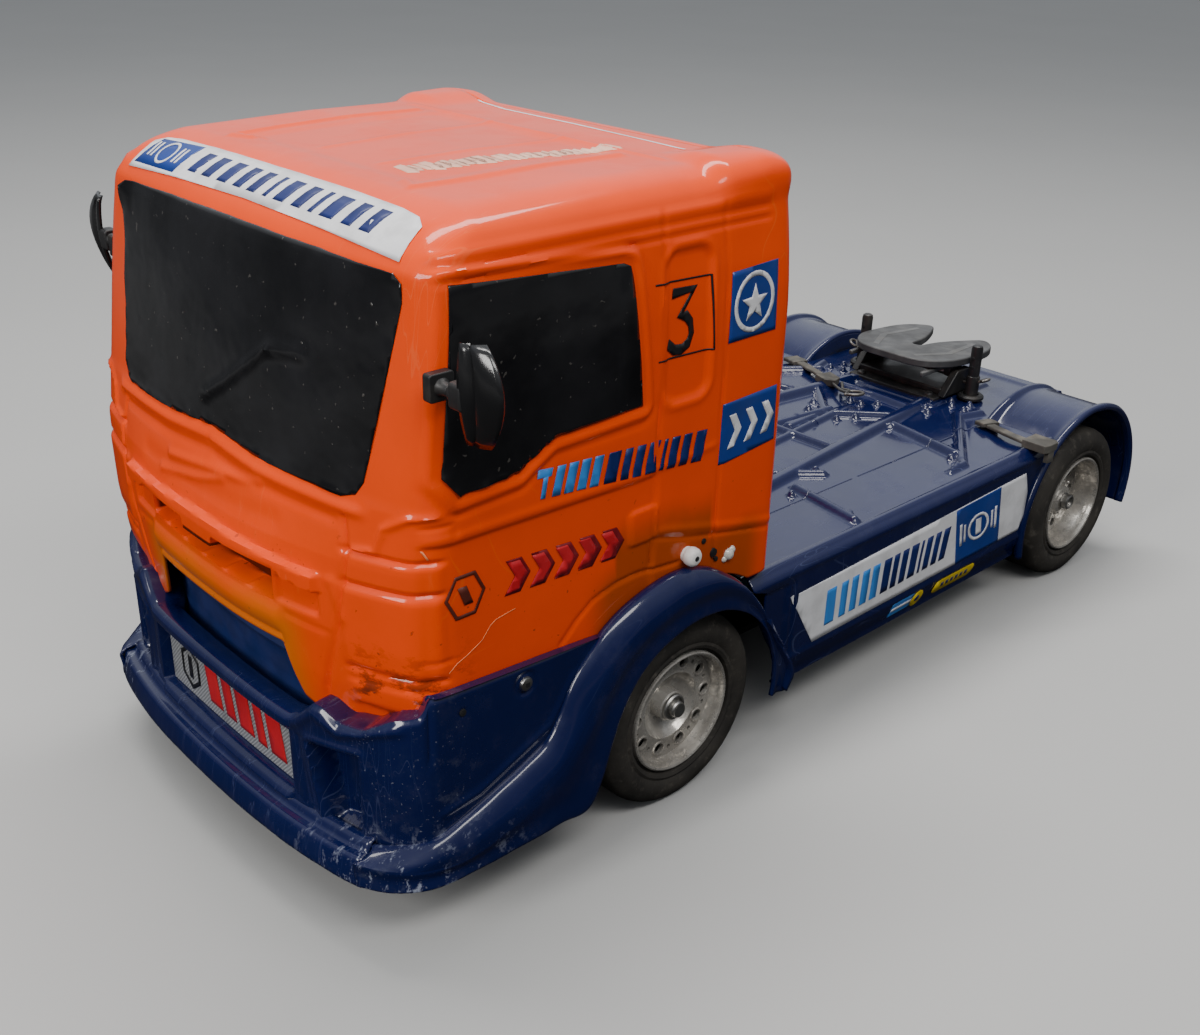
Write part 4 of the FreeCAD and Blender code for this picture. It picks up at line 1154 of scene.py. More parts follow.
DECK_Z = 72.5
DECK_HALF = 85.7
DECK_EDGE = 3.0
TAIL_X = -203.0
DECK_FRONT = 48.0
UNDER_CAB = 8.0
REAR_X = -169.5
REAR_ARCH = 46.0
ARCH_INNER_Y = 52.0
SKIRT_FOOT = 23.5
RAIL = [(46, 41.8), (-17.3, 34.6), (-152, 18.6)]
TUBES = [
    ([(-101.6, 29.2), (-94.4, 65.3)], 1.9), ([(-135.5, 39.0), (-90.8, 70.5)], 1.7),
    ([(-90.8, 70.5), (-88.0, 73.3), (-76.5, 73.3)], 1.5), ([(-16.5, 44.0), (-10.7, 76.6)], 1.6),
    ([(-20.6, 29.8), (-35.6, 42.2)], 1.5), ([(-145.2, 45.0), (-133.6, 41.3)], 1.5),
    ([(-64.9, 0.7), (-120.0, -3.0), (-160.9, -10.1)], 1.6), ([(-112.0, 22.0), (-93.0, 3.0)], 1.5),
    ([(30, 15), (-52, 7.0), (-96, 2.0)], 1.4), ([(-125, 20.0), (-128, -20.0)], 1.7),
    ([(-60, 29.0), (-58, -29.0)], 1.6), ([(18, 36.0), (18, -36.0)], 1.6),
]
PANELS = [
    ([(-20, 48.5), (-14.5, 78), (-70, 78), (-86, 71), (-91, 66), (-97.5, 34), (-60, 39.5)], 1.7),
    ([(-95, 73.5), (-92, 79.5), (-121, 79.5), (-136, 54), (-132, 47.5)], 1.4),
    ([(40, 50), (40, 78), (-8, 78), (-12.5, 46)], 1.2),
    ([(-104, 60), (-107.5, 36), (-136, 30), (-136, 35)], 1.5),
]
BOLTS = [(-143, 31), (-148, 27.5), (-127, 29), (-131, 25), (-104, 24.5), (-99, 28.5), (-97, 60), (-90, 66),
         (-112, 3), (-118, 8), (-76, 5), (-70, -3), (-36, 38), (-24, 31), (-150, 36), (-142, 38), (-58, 31),
         (18, 37), (-10, 47), (-13, 73), (-84, 73), (-96.5, 12), (-88, 8)]


def deck_relief(x, y):
    """Moulded rails, braces, sunk panels and bolt heads; the far half mirrors the near one."""
    a = np.abs(y)
    out = 3.1 * fade(1.0, 4.4, line_distance(x, a, RAIL))
    for line, radius in TUBES:
        bar = fade(0.3 * radius, 1.75 * radius + 0.4, line_distance(x, a, line))
        out = np.maximum(out, 1.45 * radius * bar)
    for outline, depth in PANELS:
        out -= depth * fade(-1.6, 0.3, loop_distance(x, a, outline))
    for bolt_x, bolt_y in BOLTS:
        out = np.maximum(out, 2.5 * fade(0.6, 2.3, np.hypot(x - bolt_x, a - bolt_y)))
    seat = np.maximum(np.abs(x + 158.0) - 24.0, a - 26.5)
    out += 1.4 * fade(-1.4, 0.4, seat) * (out < 1.0)
    out += 1.4 * within(a, 80.2, 83.2, 0.9)
    out += 0.9 * ridge(x + 196.5, 2.2) * fade(46, 50, a)
    return np.where(seat < -1.0, np.minimum(out, 2.6), out)


def skirt_relief(x, z):
    """A step line, a shallow sticker field and the notch at the front of a skirt."""
    out = -2.6 * fade(24.0, 34.0, z) + 0.6 * ridge(z - 34.6, 0.9)
    out += 0.5 * ridge(z - 69.4, 1.0)
    out -= 1.0 * smooth(34.0, 38.0, x) * within(z, 26, 66, 1.0)
    out -= 0.8 * ridge(x - 33.4, 0.8) * within(z, 24, 66, 1.0)
    return out


def arch_line(z):
    """Where a rear arch's opening crosses a height, in front of the wheel."""
    return REAR_X + math.sqrt(max(REAR_ARCH ** 2 - (z - WHEEL_Z) ** 2, 0.0))


def flank_rows():
    """(y, z) down one side of the deck, from its arch line out over the edge to the skirt's foot."""
    rows = [(y, DECK_Z) for y in np.arange(ARCH_INNER_Y, DECK_HALF - DECK_EDGE, 0.7)]
    for angle in np.radians(np.linspace(90, 0, 7)):
        rows.append((DECK_HALF - DECK_EDGE + DECK_EDGE * math.cos(angle),
                     DECK_Z - DECK_EDGE + DECK_EDGE * math.sin(angle)))
    rows += [(DECK_HALF, z) for z in np.arange(DECK_Z - DECK_EDGE - 0.9, SKIRT_FOOT, -1.1)]
    return rows + [(DECK_HALF, SKIRT_FOOT), (DECK_HALF - 2.4, SKIRT_FOOT - 0.2)]


def deck_side():
    """One side of the deck with its skirt, ending at the wheel arch."""
    grid = []
    for y, z in flank_rows():
        start = arch_line(z)
        front = DECK_FRONT + UNDER_CAB * float(smooth(66.0, 70.0, z)) - 0.32 * max(0.0, 60.0 - z)
        x = np.linspace(start, front, 290)
        on_deck = float(smooth(DECK_Z - 2.5, DECK_Z - 0.2, z))
        lift = deck_relief(x, np.full(x.shape, y)) * on_deck
        push = skirt_relief(x, np.full(x.shape, z)) * (1.0 - on_deck)
        grid.append(np.column_stack([x, y + push, z + lift]))
    return Build().grid(grid, away=(-40, 0, 30))


def deck_middle():
    """The deck between the two arch lines and its turned-down tail."""
    x = np.linspace(TAIL_X, DECK_FRONT + UNDER_CAB, 380)
    y = np.linspace(-ARCH_INNER_Y, ARCH_INNER_Y, 161)
    grid_x, grid_y = np.meshgrid(x, y, indexing="ij")
    z = DECK_Z + deck_relief(grid_x, grid_y)
    rows = np.stack([grid_x, grid_y, z], -1)
    build = Build().grid(rows, away=(-80, 0, 0))
    tail = []
    across = np.linspace(-ARCH_INNER_Y, ARCH_INNER_Y, 30)
    for drop, back in ((0.0, 0.0), (0.6, 1.2), (2.0, 2.0), (9.0, 2.2), (13.0, 2.2)):
        tail.append([(TAIL_X - back, v, DECK_Z - drop) for v in across])
    return build.grid(tail, away=(-150, 0, 40))


# distance across and radius of one rear arch, from its inner wall to the rolled outer lip
ARCH_PROFILE = [(50.6, 38.0), (50.6, 45.6), (50.8, 47.0), (51.6, 47.7), (53.0, 47.6), (54.2, 46.6),
                (56.0, 46.0), (66.0, 45.9), (78.0, 45.9), (82.4, 46.1), (83.6, 46.8), (84.6, 47.8),
                (86.2, 48.0), (87.2, 47.2), (87.4, 46.0), (86.6, 45.0), (84.0, 44.6)]


def rear_arch():
    """One rear wheel arch and the short wall from it down to the deck."""
    profile = spline(ARCH_PROFILE, 3)
    rows = []
    for angle in np.linspace(-15.0, 194.5, 130):
        turn = math.radians(angle)
        slack = 0.4 * noise.noise(Vector((angle / 24.0, 0.5, 0.2)))
        rows.append([(REAR_X + (r + slack) * math.cos(turn), y, WHEEL_Z + (r + slack) * math.sin(turn))
                     for y, r in profile])
    build = Build().grid(rows, away=(REAR_X, 69, WHEEL_Z))
    inner = []
    for angle in np.linspace(48.0, 146.0, 60):
        turn = math.radians(angle)
        x = REAR_X + 45.6 * math.cos(turn)
        top = WHEEL_Z + 45.6 * math.sin(turn)
        inner.append([(x, 50.6, DECK_Z - 3.0), (x, 50.6, max(top, DECK_Z - 2.9))])
    return build.grid(inner, away=(REAR_X, 70, 60))


def rear_body():
    """Deck, skirts and arches as one lexan shell."""
    build = deck_middle()
    for part in (deck_side(), rear_arch()):
        build.join(part)
        build.join(part.mirrored())
    piece("deck_shell", build, PAINT["blue_deck"], stands_for=["rear_body"], wall=0.9,
          sharp=52.0, closed=False, weld=0.01)


PAINT["blue_deck"] = blue_paint("blue_deck", 0.0)
rear_body()


# ---------------------------------------------------------------- wheels

RIM_R = 22.0
BARREL_R = 20.3
WHEEL_IN = 60.5
WHEEL_OUT = 84.5


def old_silver():
    """Plated plastic gone dull, with brown dust in the corners and chipped spots."""
    nodes = Nodes("old_silver")
    dust = nodes.ramp(nodes.noise(160.0, 8.0, 0.7), 0.46, 0.66)
    cloud = nodes.ramp(nodes.noise(70.0, 6.0), 0.35, 0.65)
    tone = nodes.mix(cloud, (0.42, 0.395, 0.36), (0.60, 0.575, 0.53))
    tone = nodes.stain(tone, dust, 0.38, (0.13, 0.11, 0.085))
    uneven = nodes.blend_value(dust, 0.24, 0.6)
    nodes.bump(nodes.noise(500.0, 4.0), 0.5, 0.12)
    return nodes.finish(tone, uneven, 0.6)


def tyre_rubber():
    """Matt black rubber browned by dust, with small scuffs."""
    nodes = Nodes("tyre_rubber")
    cloud = nodes.ramp(nodes.noise(60.0, 6.0), 0.3, 0.7)
    tone = nodes.mix(cloud, (0.016, 0.014, 0.012), (0.040, 0.035, 0.029))
    dust = nodes.ramp(nodes.noise(210.0, 8.0, 0.75), 0.52, 0.7)
    tone = nodes.stain(tone, dust, 0.5, (0.13, 0.115, 0.095))
    nodes.bump(nodes.noise(700.0, 5.0), 0.7, 0.2)
    return nodes.finish(tone, 0.78)


def tyre(axle_x, side):
    """Slick with a squared shoulder, a fine shoulder groove and a creased sidewall."""
    half = [(RIM_R + 0.1, WHEEL_IN + 1.4), (RIM_R + 0.8, WHEEL_IN + 1.5), (RIM_R + 1.3, WHEEL_IN - 0.3),
            (24.4, WHEEL_IN - 0.8), (25.4, WHEEL_IN - 0.4), (26.3, WHEEL_IN - 0.9), (28.2, WHEEL_IN - 1.4),
            (30.5, WHEEL_IN - 1.2), (32.2, WHEEL_IN - 0.2), (33.4, WHEEL_IN + 0.4), (34.4, WHEEL_IN + 1.8),
            (35.0, WHEEL_IN + 4.0), (35.0, WHEEL_IN + 6.6), (34.6, WHEEL_IN + 6.9), (34.6, WHEEL_IN + 7.4),
            (35.0, WHEEL_IN + 7.7), (35.0, (WHEEL_IN + WHEEL_OUT) / 2)]
    profile = half + [(r, WHEEL_IN + WHEEL_OUT - y) for r, y in half[-2::-1]]
    profile += [(RIM_R - 0.3, WHEEL_OUT - 2.0), (RIM_R - 0.3, WHEEL_IN + 2.0)]
    return Build().turned(profile, axle_x, WHEEL_Z, side, 96)


def holed_disc(axle_x, side, face_y, thickness, inner, outer, holes):
    """A flat ring pierced by round holes, given thickness."""
    work = bmesh.new()
    edges = []
    for u, v, radius, count in [(0, 0, outer, 96), (0, 0, inner, 48)] + [(*hole, 16) for hole in holes]:
        loop = []
        for k in range(count):
            angle = 2 * math.pi * k / count
            loop.append(work.verts.new((u + radius * math.cos(angle), v + radius * math.sin(angle), 0)))
        edges += [work.edges.new((loop[k], loop[(k + 1) % count])) for k in range(count)]
    bmesh.ops.triangle_fill(work, edges=edges, use_beauty=True)
    work.verts.index_update()
    flat = [(vert.co.x, vert.co.y) for vert in work.verts]
    faces = [tuple(vert.index for vert in face.verts) for face in work.faces]
    rims = [(edge.verts[0].index, edge.verts[1].index) for edge in work.edges if len(edge.link_faces) == 1]
    work.free()
    build = Build()
    count = len(flat)
    place = [(axle_x + u, side * face_y, WHEEL_Z + v) for u, v in flat]
    place += [(axle_x + u, side * (face_y - thickness), WHEEL_Z + v) for u, v in flat]
    faces = faces + [tuple(count + i for i in face[::-1]) for face in faces]
    faces += [(a, b, b + count, a + count) for a, b in rims]
    return build.add(place, faces)


def ring_places(count, pitch, start=0.0):
    """Evenly spaced places on a circle; start turns them by a share of one step."""
    angles = [2 * math.pi * (k + start) / count for k in range(count)]
    return [(pitch * math.cos(angle), pitch * math.sin(angle)) for angle in angles]


def dome(build, centre, radius, height, side, segments):
    """A small round head that stands out sideways."""
    profile = [(0.01, side * height), (radius * 0.5, side * height * 0.92),
               (radius * 0.85, side * height * 0.6), (radius, side * height * 0.1),
               (radius, -side * 0.6), (0.01, -side * 0.6)]
    return build.lathe(profile, centre, "y", segments, close=False)


def rim_barrel(axle_x, side):
    """Drop-centre barrel with a rolled outer lip, open to the outside."""
    profile = [(BARREL_R, WHEEL_IN), (RIM_R, WHEEL_IN), (RIM_R, WHEEL_OUT - 1.0),
               (RIM_R - 0.1, WHEEL_OUT + 0.2), (RIM_R - 0.6, WHEEL_OUT + 0.5), (RIM_R - 1.2, WHEEL_OUT + 0.2),
               (RIM_R - 1.5, WHEEL_OUT - 0.8), (BARREL_R, WHEEL_OUT - 1.6), (BARREL_R - 0.2, WHEEL_OUT - 4.0),
               (BARREL_R - 0.7, WHEEL_OUT - 4.8), (BARREL_R - 0.7, WHEEL_IN + 2)]
    return Build().turned(profile, axle_x, WHEEL_Z, side, 96)


def rim_shade_disc(axle_x, side, outer_y):
    """A thin disc in painted shade behind the rim's holes, so that they read dark."""
    profile = [(3.6, outer_y), (BARREL_R - 0.8, outer_y), (BARREL_R - 0.8, outer_y - 0.6), (3.6, outer_y - 0.6)]
    return Build().turned(profile, axle_x, WHEEL_Z, side, 48)


def front_rim(side):
    """Flat pierced ring round a sunk centre with stepped hub rings."""
    x = WHEEL_X
    build = rim_barrel(x, side)
    face_y = 79.6
    holes = [(u, v, 2.0) for u, v in ring_places(10, 16.1)]
    holes += [(u, v, 0.75) for u, v in ring_places(10, 16.6, 0.5)]
    build.join(holed_disc(x, side, face_y, 1.2, 12.8, BARREL_R - 0.4, holes))
    bowl = [(12.8, face_y), (12.3, face_y + 0.1), (11.9, face_y - 0.4), (11.2, face_y - 1.7),
            (10.0, face_y - 2.9), (8.6, face_y - 3.7), (7.0, face_y - 4.1), (5.9, face_y - 4.1),
            (5.7, face_y - 2.4), (5.4, face_y + 0.3), (5.0, face_y + 0.6), (3.2, face_y + 0.6),
            (3.2, face_y - 5.0), (12.8, face_y - 5.0), (12.8, face_y - 1.2)]
    build.turned(bowl, x, WHEEL_Z, side, 72)
    collar = [(2.0, face_y), (2.15, face_y + 0.45), (2.6, face_y + 0.4), (2.8, face_y - 0.1),
              (2.0, face_y - 0.1)]
    for u, v in ring_places(10, 16.1):
        build.turned(collar, x + u, WHEEL_Z + v, side, 18)
    valve = ring_places(1, 18.3, 0.36)[0]
    dome(build, (x + valve[0], side * face_y, WHEEL_Z + valve[1]), 0.8, 1.6, side, segments=8)
    return build, rim_shade_disc(x, side, 75.2)


def rear_rim(side):
    """Deep dish with a ring of bolt bumps, round windows and a stepped hub."""
    x = REAR_X
    build = rim_barrel(x, side)
    face_y = 74.0
    holes = [(u, v, 1.9) for u, v in ring_places(10, 15.4)]
    build.join(holed_disc(x, side, face_y, 1.2, 10.6, BARREL_R - 0.4, holes))
    hub = [(10.6, face_y), (10.0, face_y + 1.6), (9.2, face_y + 2.2), (7.4, face_y + 2.2),
           (6.8, face_y + 3.4), (6.2, face_y + 5.2), (5.0, face_y + 5.6), (3.2, face_y + 5.6),
           (3.2, face_y - 1.0), (10.6, face_y - 1.2)]
    build.turned(hub, x, WHEEL_Z, side, 72)
    for u, v in ring_places(10, 12.4, 0.5):
        dome(build, (x + u, side * face_y, WHEEL_Z + v), 1.25, 1.7, side, segments=10)
    for u, v in ring_places(10, 8.3, 0.2):
        dome(build, (x + u, side * (face_y + 2.2), WHEEL_Z + v), 0.8, 1.0, side, segments=8)
    return build, rim_shade_disc(x, side, 70.6)


def lock_nut(axle_x, side, seat_y, across):
    """A flanged hexagon nut with its collar and the axle's end showing."""
    build = Build()
    angles = [math.radians(60 * k + 12) for k in range(6)]
    hexagon = [(across * math.cos(angle), across * math.sin(angle)) for angle in angles]
    build.slab(hexagon, lambda u, v, w: (axle_x + u, side * (seat_y + w), WHEEL_Z + v), 0.0, 2.6)
    flange = [(across + 0.3, seat_y), (across + 0.3, seat_y + 0.7), (across - 0.6, seat_y + 1.0),
              (across - 0.6, seat_y)]
    build.turned(flange, axle_x, WHEEL_Z, side, 36)
    collar = [(2.2, seat_y + 2.5), (3.6, seat_y + 2.5), (3.5, seat_y + 3.3), (2.9, seat_y + 3.6),
              (2.2, seat_y + 3.3)]
    return build.turned(collar, axle_x, WHEEL_Z, side, 36)


def hub_cap(side, seat_y):
    """The front nut seen from outside: a round flange, a groove and a stepped cap."""
    heights = [(0.01, 2.4), (1.5, 2.4), (1.8, 3.1), (2.5, 3.1), (2.9, 2.6), (3.1, 0.9), (3.6, 0.8),
               (3.8, 1.5), (4.4, 1.5), (4.8, 1.0), (4.8, 0.0), (0.01, 0.0)]
    profile = [(radius, seat_y + out) for radius, out in heights]
    return Build().turned(profile, WHEEL_X, WHEEL_Z, side, 40, close=False)


def wheel_piece(name, build, paint, body, node, sharp=38.0):
    """One piece of a wheel; node is the CAD part it stands for."""
    piece(name, build, PAINT[paint], body, [node], sharp=sharp)


def wheels():
    """Each front wheel on its own body, the two rear ones together on their axle."""
    rears, rear_shade_discs, rear_rings, rear_nuts = Build(), Build(), Build(), Build()
    for side, name in ((1, "left"), (-1, "right")):
        front = "front_" + name
        body = front + "_wheel"
        rim, back = front_rim(side)
        wheel_piece(front + "_wheel_rim", rim, "silver_old", body, front + "_rim", sharp=32.0)
        # the disc behind the rim's holes is painted shade
        wheel_piece(front + "_rim_shade_disc", back, "dark", body, front + "_rim")
        wheel_piece(front + "_slick_tyre", tyre(WHEEL_X, side), "tyre", body, front + "_tyre",
                    40.0)
        wheel_piece(front + "_lock_nut", hub_cap(side, 80.2), "nut_steel", name + "_knuckle",
                    front + "_wheel_nut", 30.0)
        rim, back = rear_rim(side)
        rears.join(rim)
        rear_shade_discs.join(back)
        rear_rings.join(tyre(REAR_X, side))
        rear_nuts.join(lock_nut(REAR_X, side, 79.6, 3.6))
    body = "rear_wheels"
    wheel_piece("rear_wheel_rims", rears, "silver_old", body, "rear_rims", sharp=32.0)
    # the discs behind the rear rims' holes are painted shade
    wheel_piece("rear_rim_shade_discs", rear_shade_discs, "dark", body, "rear_rims")
    wheel_piece("rear_slick_tyres", rear_rings, "tyre", body, "rear_tyres", 40.0)
    wheel_piece("rear_lock_nuts", rear_nuts, "nut_steel", body, "rear_wheel_nuts", 30.0)


PAINT["silver_old"] = old_silver()
PAINT["tyre"] = tyre_rubber()
wheels()


# ---------------------------------------------------------------- fifth wheel, posts, tethers, clips, mirrors

FIFTH_X = -157.5
FIFTH_TOP = 92.0
FIFTH_THICK = 3.5
FIFTH_TILT = 0.05
POST_X = -158.5
POST_Y = 30.9


def fifth_wheel_outline():
    """Half of the coupling plate: rounded wing, slanted mouth and a V running in to the pin seat."""
    right = [(-132.5, 0.0), (-132.5, 13.0), (-136.0, 19.5), (-143.0, 24.5), (-150.0, 26.8), (-160.0, 27.2),
             (-174.0, 26.6), (-183.0, 24.0), (-189.5, 19.0), (-191.5, 14.5), (-187.5, 11.4), (-172.0, 4.8),
             (-162.0, 2.8), (-157.5, 2.6)]
    seat = [(FIFTH_X + 2.6 * math.sin(a), 2.6 * math.cos(a)) for a in np.radians(np.linspace(15, 165, 9))]
    half = rounded_path(right, 2)
    return half + seat + [(x, -y) for x, y in half[:0:-1]]


def flat(u, v, w):
    """An outline seen from above, given thickness upward."""
    return (u, v, w)


def tilted(u, v, w):
    """The same, but the rear of the coupling plate hangs lower than its front."""
    return (u, v, w + FIFTH_TILT * (u - FIFTH_X))


def upright(y):
    """Places an outline seen from the side, given thickness across from y."""
    return lambda u, v, w: (u, y + w, v)


def fifth_wheel():
    """The tilting plate with its ears and rub marks, and the bracket it rocks on."""
    top = Build().slab(fifth_wheel_outline(), tilted, FIFTH_TOP - FIFTH_THICK, FIFTH_TOP)
    ears = Build()
    arm_top = FIFTH_TOP - FIFTH_THICK - 0.05
    arm = [(FIFTH_X - 6, arm_top), (FIFTH_X + 6, arm_top), (FIFTH_X + 3.6, 82.0), (FIFTH_X, 80.6),
           (FIFTH_X - 3.6, 82.0)]
    for y in (-22.0, 18.0):
        ears.slab(arm, upright(y), 0.0, 4.0)
    for y in (-20.0, 20.0):
        ears.block((-186, y - 1.0, 86.4), (-132, y + 1.0, 88.6))
    top.join(ears)
    piece("coupling_plate", top, PAINT["grey_nylon"], "fifth_wheel", ["fifth_wheel_plate"],
          bevel=0.55, sharp=30.0)
    groove = Build()
    for side in (-1, 1):
        strip = [(-138, side * 12), (-155, side * 20), (-181, side * 17), (-180, side * 14.6),
                 (-156, side * 16.8), (-139, side * 9.4)]
        groove.slab(strip, tilted, FIFTH_TOP - 0.1, FIFTH_TOP + 0.12)
    piece("coupling_plate_rub_marks", groove, PAINT["plate_rub"], "fifth_wheel", ["fifth_wheel_plate"],
          bevel=0.1)
    base = Build().block((-176.5, -24, 72.6), (-138.5, 24, 75.4))
    base.block((-170, -23, 75.3), (-145, 23, 78.4))
    cheek = [(-172, 75.3), (-143, 75.3), (-147, 80.0), (-152.5, 86.2), (-162.5, 86.2), (-168, 80.0)]
    for y, inner_face in ((-27.0, 0.6), (22.6, 0.0)):
        base.slab(cheek, upright(y), inner_face, inner_face + 3.8)
    bolt_head = [(0.01, 1.5), (1.6, 1.4), (2.3, 0.5), (2.3, -0.6), (0.01, -0.6)]
    for x in (-173.2, -141.8):
        for y in (-19.0, 19.0):
            base.lathe(bolt_head, (x, y, 75.4), "z", 16)
    piece("coupling_bracket", base, PAINT["black"], stands_for=["fifth_wheel_bracket"],
          bevel=0.5, sharp=30.0)


def posts():
    """Body posts with a clip collar, a shoulder and a row of pin holes shown as dimples in painted shade."""
    build, collars = Build(), Build()
    shaft = [(0.01, 17.0), (3.1, 17.0), (3.1, 83.4), (2.9, 84.0), (2.6, 84.2), (2.6, 96.9), (2.3, 98.3),
             (1.5, 98.8), (0.01, 98.8)]
    pin_hole = [(0.01, -2.75), (0.75, -2.75), (0.95, -2.5), (0.95, 2.5), (0.75, 2.75), (0.01, 2.75)]
    collar = [(3.6, 73.6), (6.0, 73.6), (6.0, 74.6), (5.0, 75.4), (3.6, 75.4)]
    for side in (1, -1):
        build.lathe(shaft, (POST_X, side * POST_Y, 0), "z", 28, close=False)
        # mark 1: the pin holes are dimples in painted shade
        for z in (88.4, 92.6):
            build.lathe(pin_hole, (POST_X, side * POST_Y, z), "x", 12, mark=1, close=False)
        collars.lathe(collar, (POST_X, side * POST_Y, 0), "z", 28)
    piece("body_posts", build, [PAINT["black"], PAINT["dark"]], stands_for=["rear_body_posts"],
          sharp=35.0)
    piece("post_collars", collars, PAINT["black"], stands_for=["rear_body"], sharp=35.0)


CLIP_RISE = 0.5
SPARE_RISE = 0.18
SPARE_TURN = math.radians(31)
CLIP_WIRE = 0.75
CLIP_SWAY = 1.7


def body_clip(name, node, tip, direction, length, ring, rise):
    """An R-shaped wire clip: straight leg, waved leg and a round eye; tip is the straight leg's free end."""
    ahead = Vector(direction).normalized()
    aside = Vector((-ahead.y, ahead.x, 0.0))
    start = Vector(tip)
    straight = [start, start + ahead * length]
    centre = start + ahead * (length + ring * 0.9) + aside * ring * 0.5
    loop = []
    for angle in np.radians(np.linspace(210, -70, 26)):
        loop.append(centre + ring * (math.cos(angle) * ahead + math.sin(angle) * aside))
    waved_leg = ((length - 2.0, CLIP_SWAY + 1.4), (length * 0.62, CLIP_SWAY),
                 (length * 0.40, CLIP_SWAY + 1.3), (length * 0.12, CLIP_SWAY + 2.8))
    wave = [start + ahead * along + aside * out for along, out in waved_leg]
    path = spline([tuple(p) for p in straight + loop[2:] + wave], 3)
    path[:, 2] += rise * np.clip((path - np.array(start)) @ np.array(ahead) - 0.6 * length, 0.0, None)
    build = Build().tube([tuple(p) for p in path], CLIP_WIRE, 10)
    return piece(name, build, PAINT["steel_dark"], node, [node], sharp=60.0)


def strap(points, width, thick):
    """A flat rubber strap swept along a path of (x, y, z)."""
    path = spline(points, 8)
    ahead = np.gradient(path, axis=0)
    across = np.stack([-ahead[:, 1], ahead[:, 0], 0 * ahead[:, 0]], -1)
    across /= np.linalg.norm(across, axis=1)[:, None]
    half = width / 2.0
    section = [(-half, 0.0), (-half, thick - 0.4), (-half + 0.5, thick), (half - 0.5, thick),
               (half, thick - 0.4), (half, 0.0)]
    rows = [[p + a * u + np.array([0, 0, w]) for u, w in section] for p, a in zip(path, across)]
    build = Build().grid(rows, True)
    count = len(section)
    for row, flip in ((rows[0], False), (rows[-1], True)):
        face = tuple(range(count))
        build.add(row, [face[::-1] if flip else face])
    return build


NEAR_STRAP = [(-133.5, 55, 73.4), (-130, 62, 74.2), (-127.5, 70, 74.6), (-127, 80, 74.0), (-127, 86, 74.0)]
NEAR_ROOT = [(-134.5, 52.5, 73.2), (-133.4, 55.4, 73.8), (-131.8, 59, 74.1)]
NEAR_PAD = [(-132.6, 79.5), (-122.0, 79.5), (-122.0, 90.2), (-124.5, 91.2), (-131.0, 91.2), (-132.6, 89.6)]
FAR_STRAP = [(-133.5, -54.5, 73.6), (-129, -42, 74.2), (-125.2, -32, 74.4), (-121, -22.5, 74.4)]
FAR_ROOT = [(-134.5, -57.0, 73.4), (-132.8, -52.6, 73.8), (-131.2, -48, 74.0)]
FAR_PAD = [(-127, -26.5), (-119.0, -29.2), (-116.2, -21.5), (-118.8, -17.0), (-124.0, -18.6)]


def softened(place):
    """A place on the rubber, moved a little so that the straps look soft and used."""
    return place + Vector((0.25 * noise.noise(place / 5.0),
                           0.25 * noise.noise(place / 6.0 + Vector((3, 0, 0))),
                           0.2 * noise.noise(place / 4.0 + Vector((0, 5, 0)))))


def tethers():
    """The two rubber straps that hold the clips, each with a thick root and a pad at its end."""
    near = strap(NEAR_STRAP, 4.6, 1.5)
    near.join(strap(NEAR_ROOT, 8.2, 1.9))
    near.slab(NEAR_PAD, flat, 73.9, 77.4)
    near.block((-129.5, 88.6, 69.0), (-125.0, 91.0, 74.2))
    far = strap(FAR_STRAP, 4.2, 1.5)
    far.join(strap(FAR_ROOT, 8.0, 1.9))
    far.slab(FAR_PAD, flat, 73.9, 77.2)
    both = near.moved(softened).join(far.moved(softened))
    piece("rubber_tethers", both, PAINT["rubber"], stands_for=["clip_tethers"],
          bevel=0.35, sharp=35.0)


def clips():
    """One clip through each body post, and a spare one lying at the end of the far strap."""
    for side, name in ((1, "left"), (-1, "right")):
        body_clip(name + "_retaining_clip", name + "_post_clip", (POST_X, side * (POST_Y - 5.5), 80),
                  (0, side, 0), 8.5, 2.2, CLIP_RISE)
    body_clip("spare_retaining_clip", "spare_body_clip", (-119.5, -20.0, 75.6),
              (math.sin(SPARE_TURN), math.cos(SPARE_TURN), 0), 17.0, 4.6, SPARE_RISE)


STUD_X = 185.2
STUD_Z = 173.9
WING_FOOT = 162.0
WING_TOP = 187.6
WING_ROOT_Y = 97.0


def wing_row(share, side):
    """One level row of a mirror's folded plate; share runs from its foot to its top."""
    front = 186.4 - 3.4 * (share - 0.62) ** 2 * 2
    height = WING_FOOT + (WING_TOP - WING_FOOT) * share
    swell = math.sin(math.pi * min(1.0, max(0.0, 0.08 + 0.86 * share))) ** 0.55
    outer = 97.2 + 15.2 * swell * (1.0 - 0.25 * (1 - share))
    row = []
    for across in np.linspace(0.0, 1.0, 11):
        y = WING_ROOT_Y + (outer - WING_ROOT_Y) * across
        curl = 2.6 * across ** 2.2 + 1.4 * math.exp(-((across - 0.34) / 0.09) ** 2)
        row.append((front - curl, side * y, height))
    return row


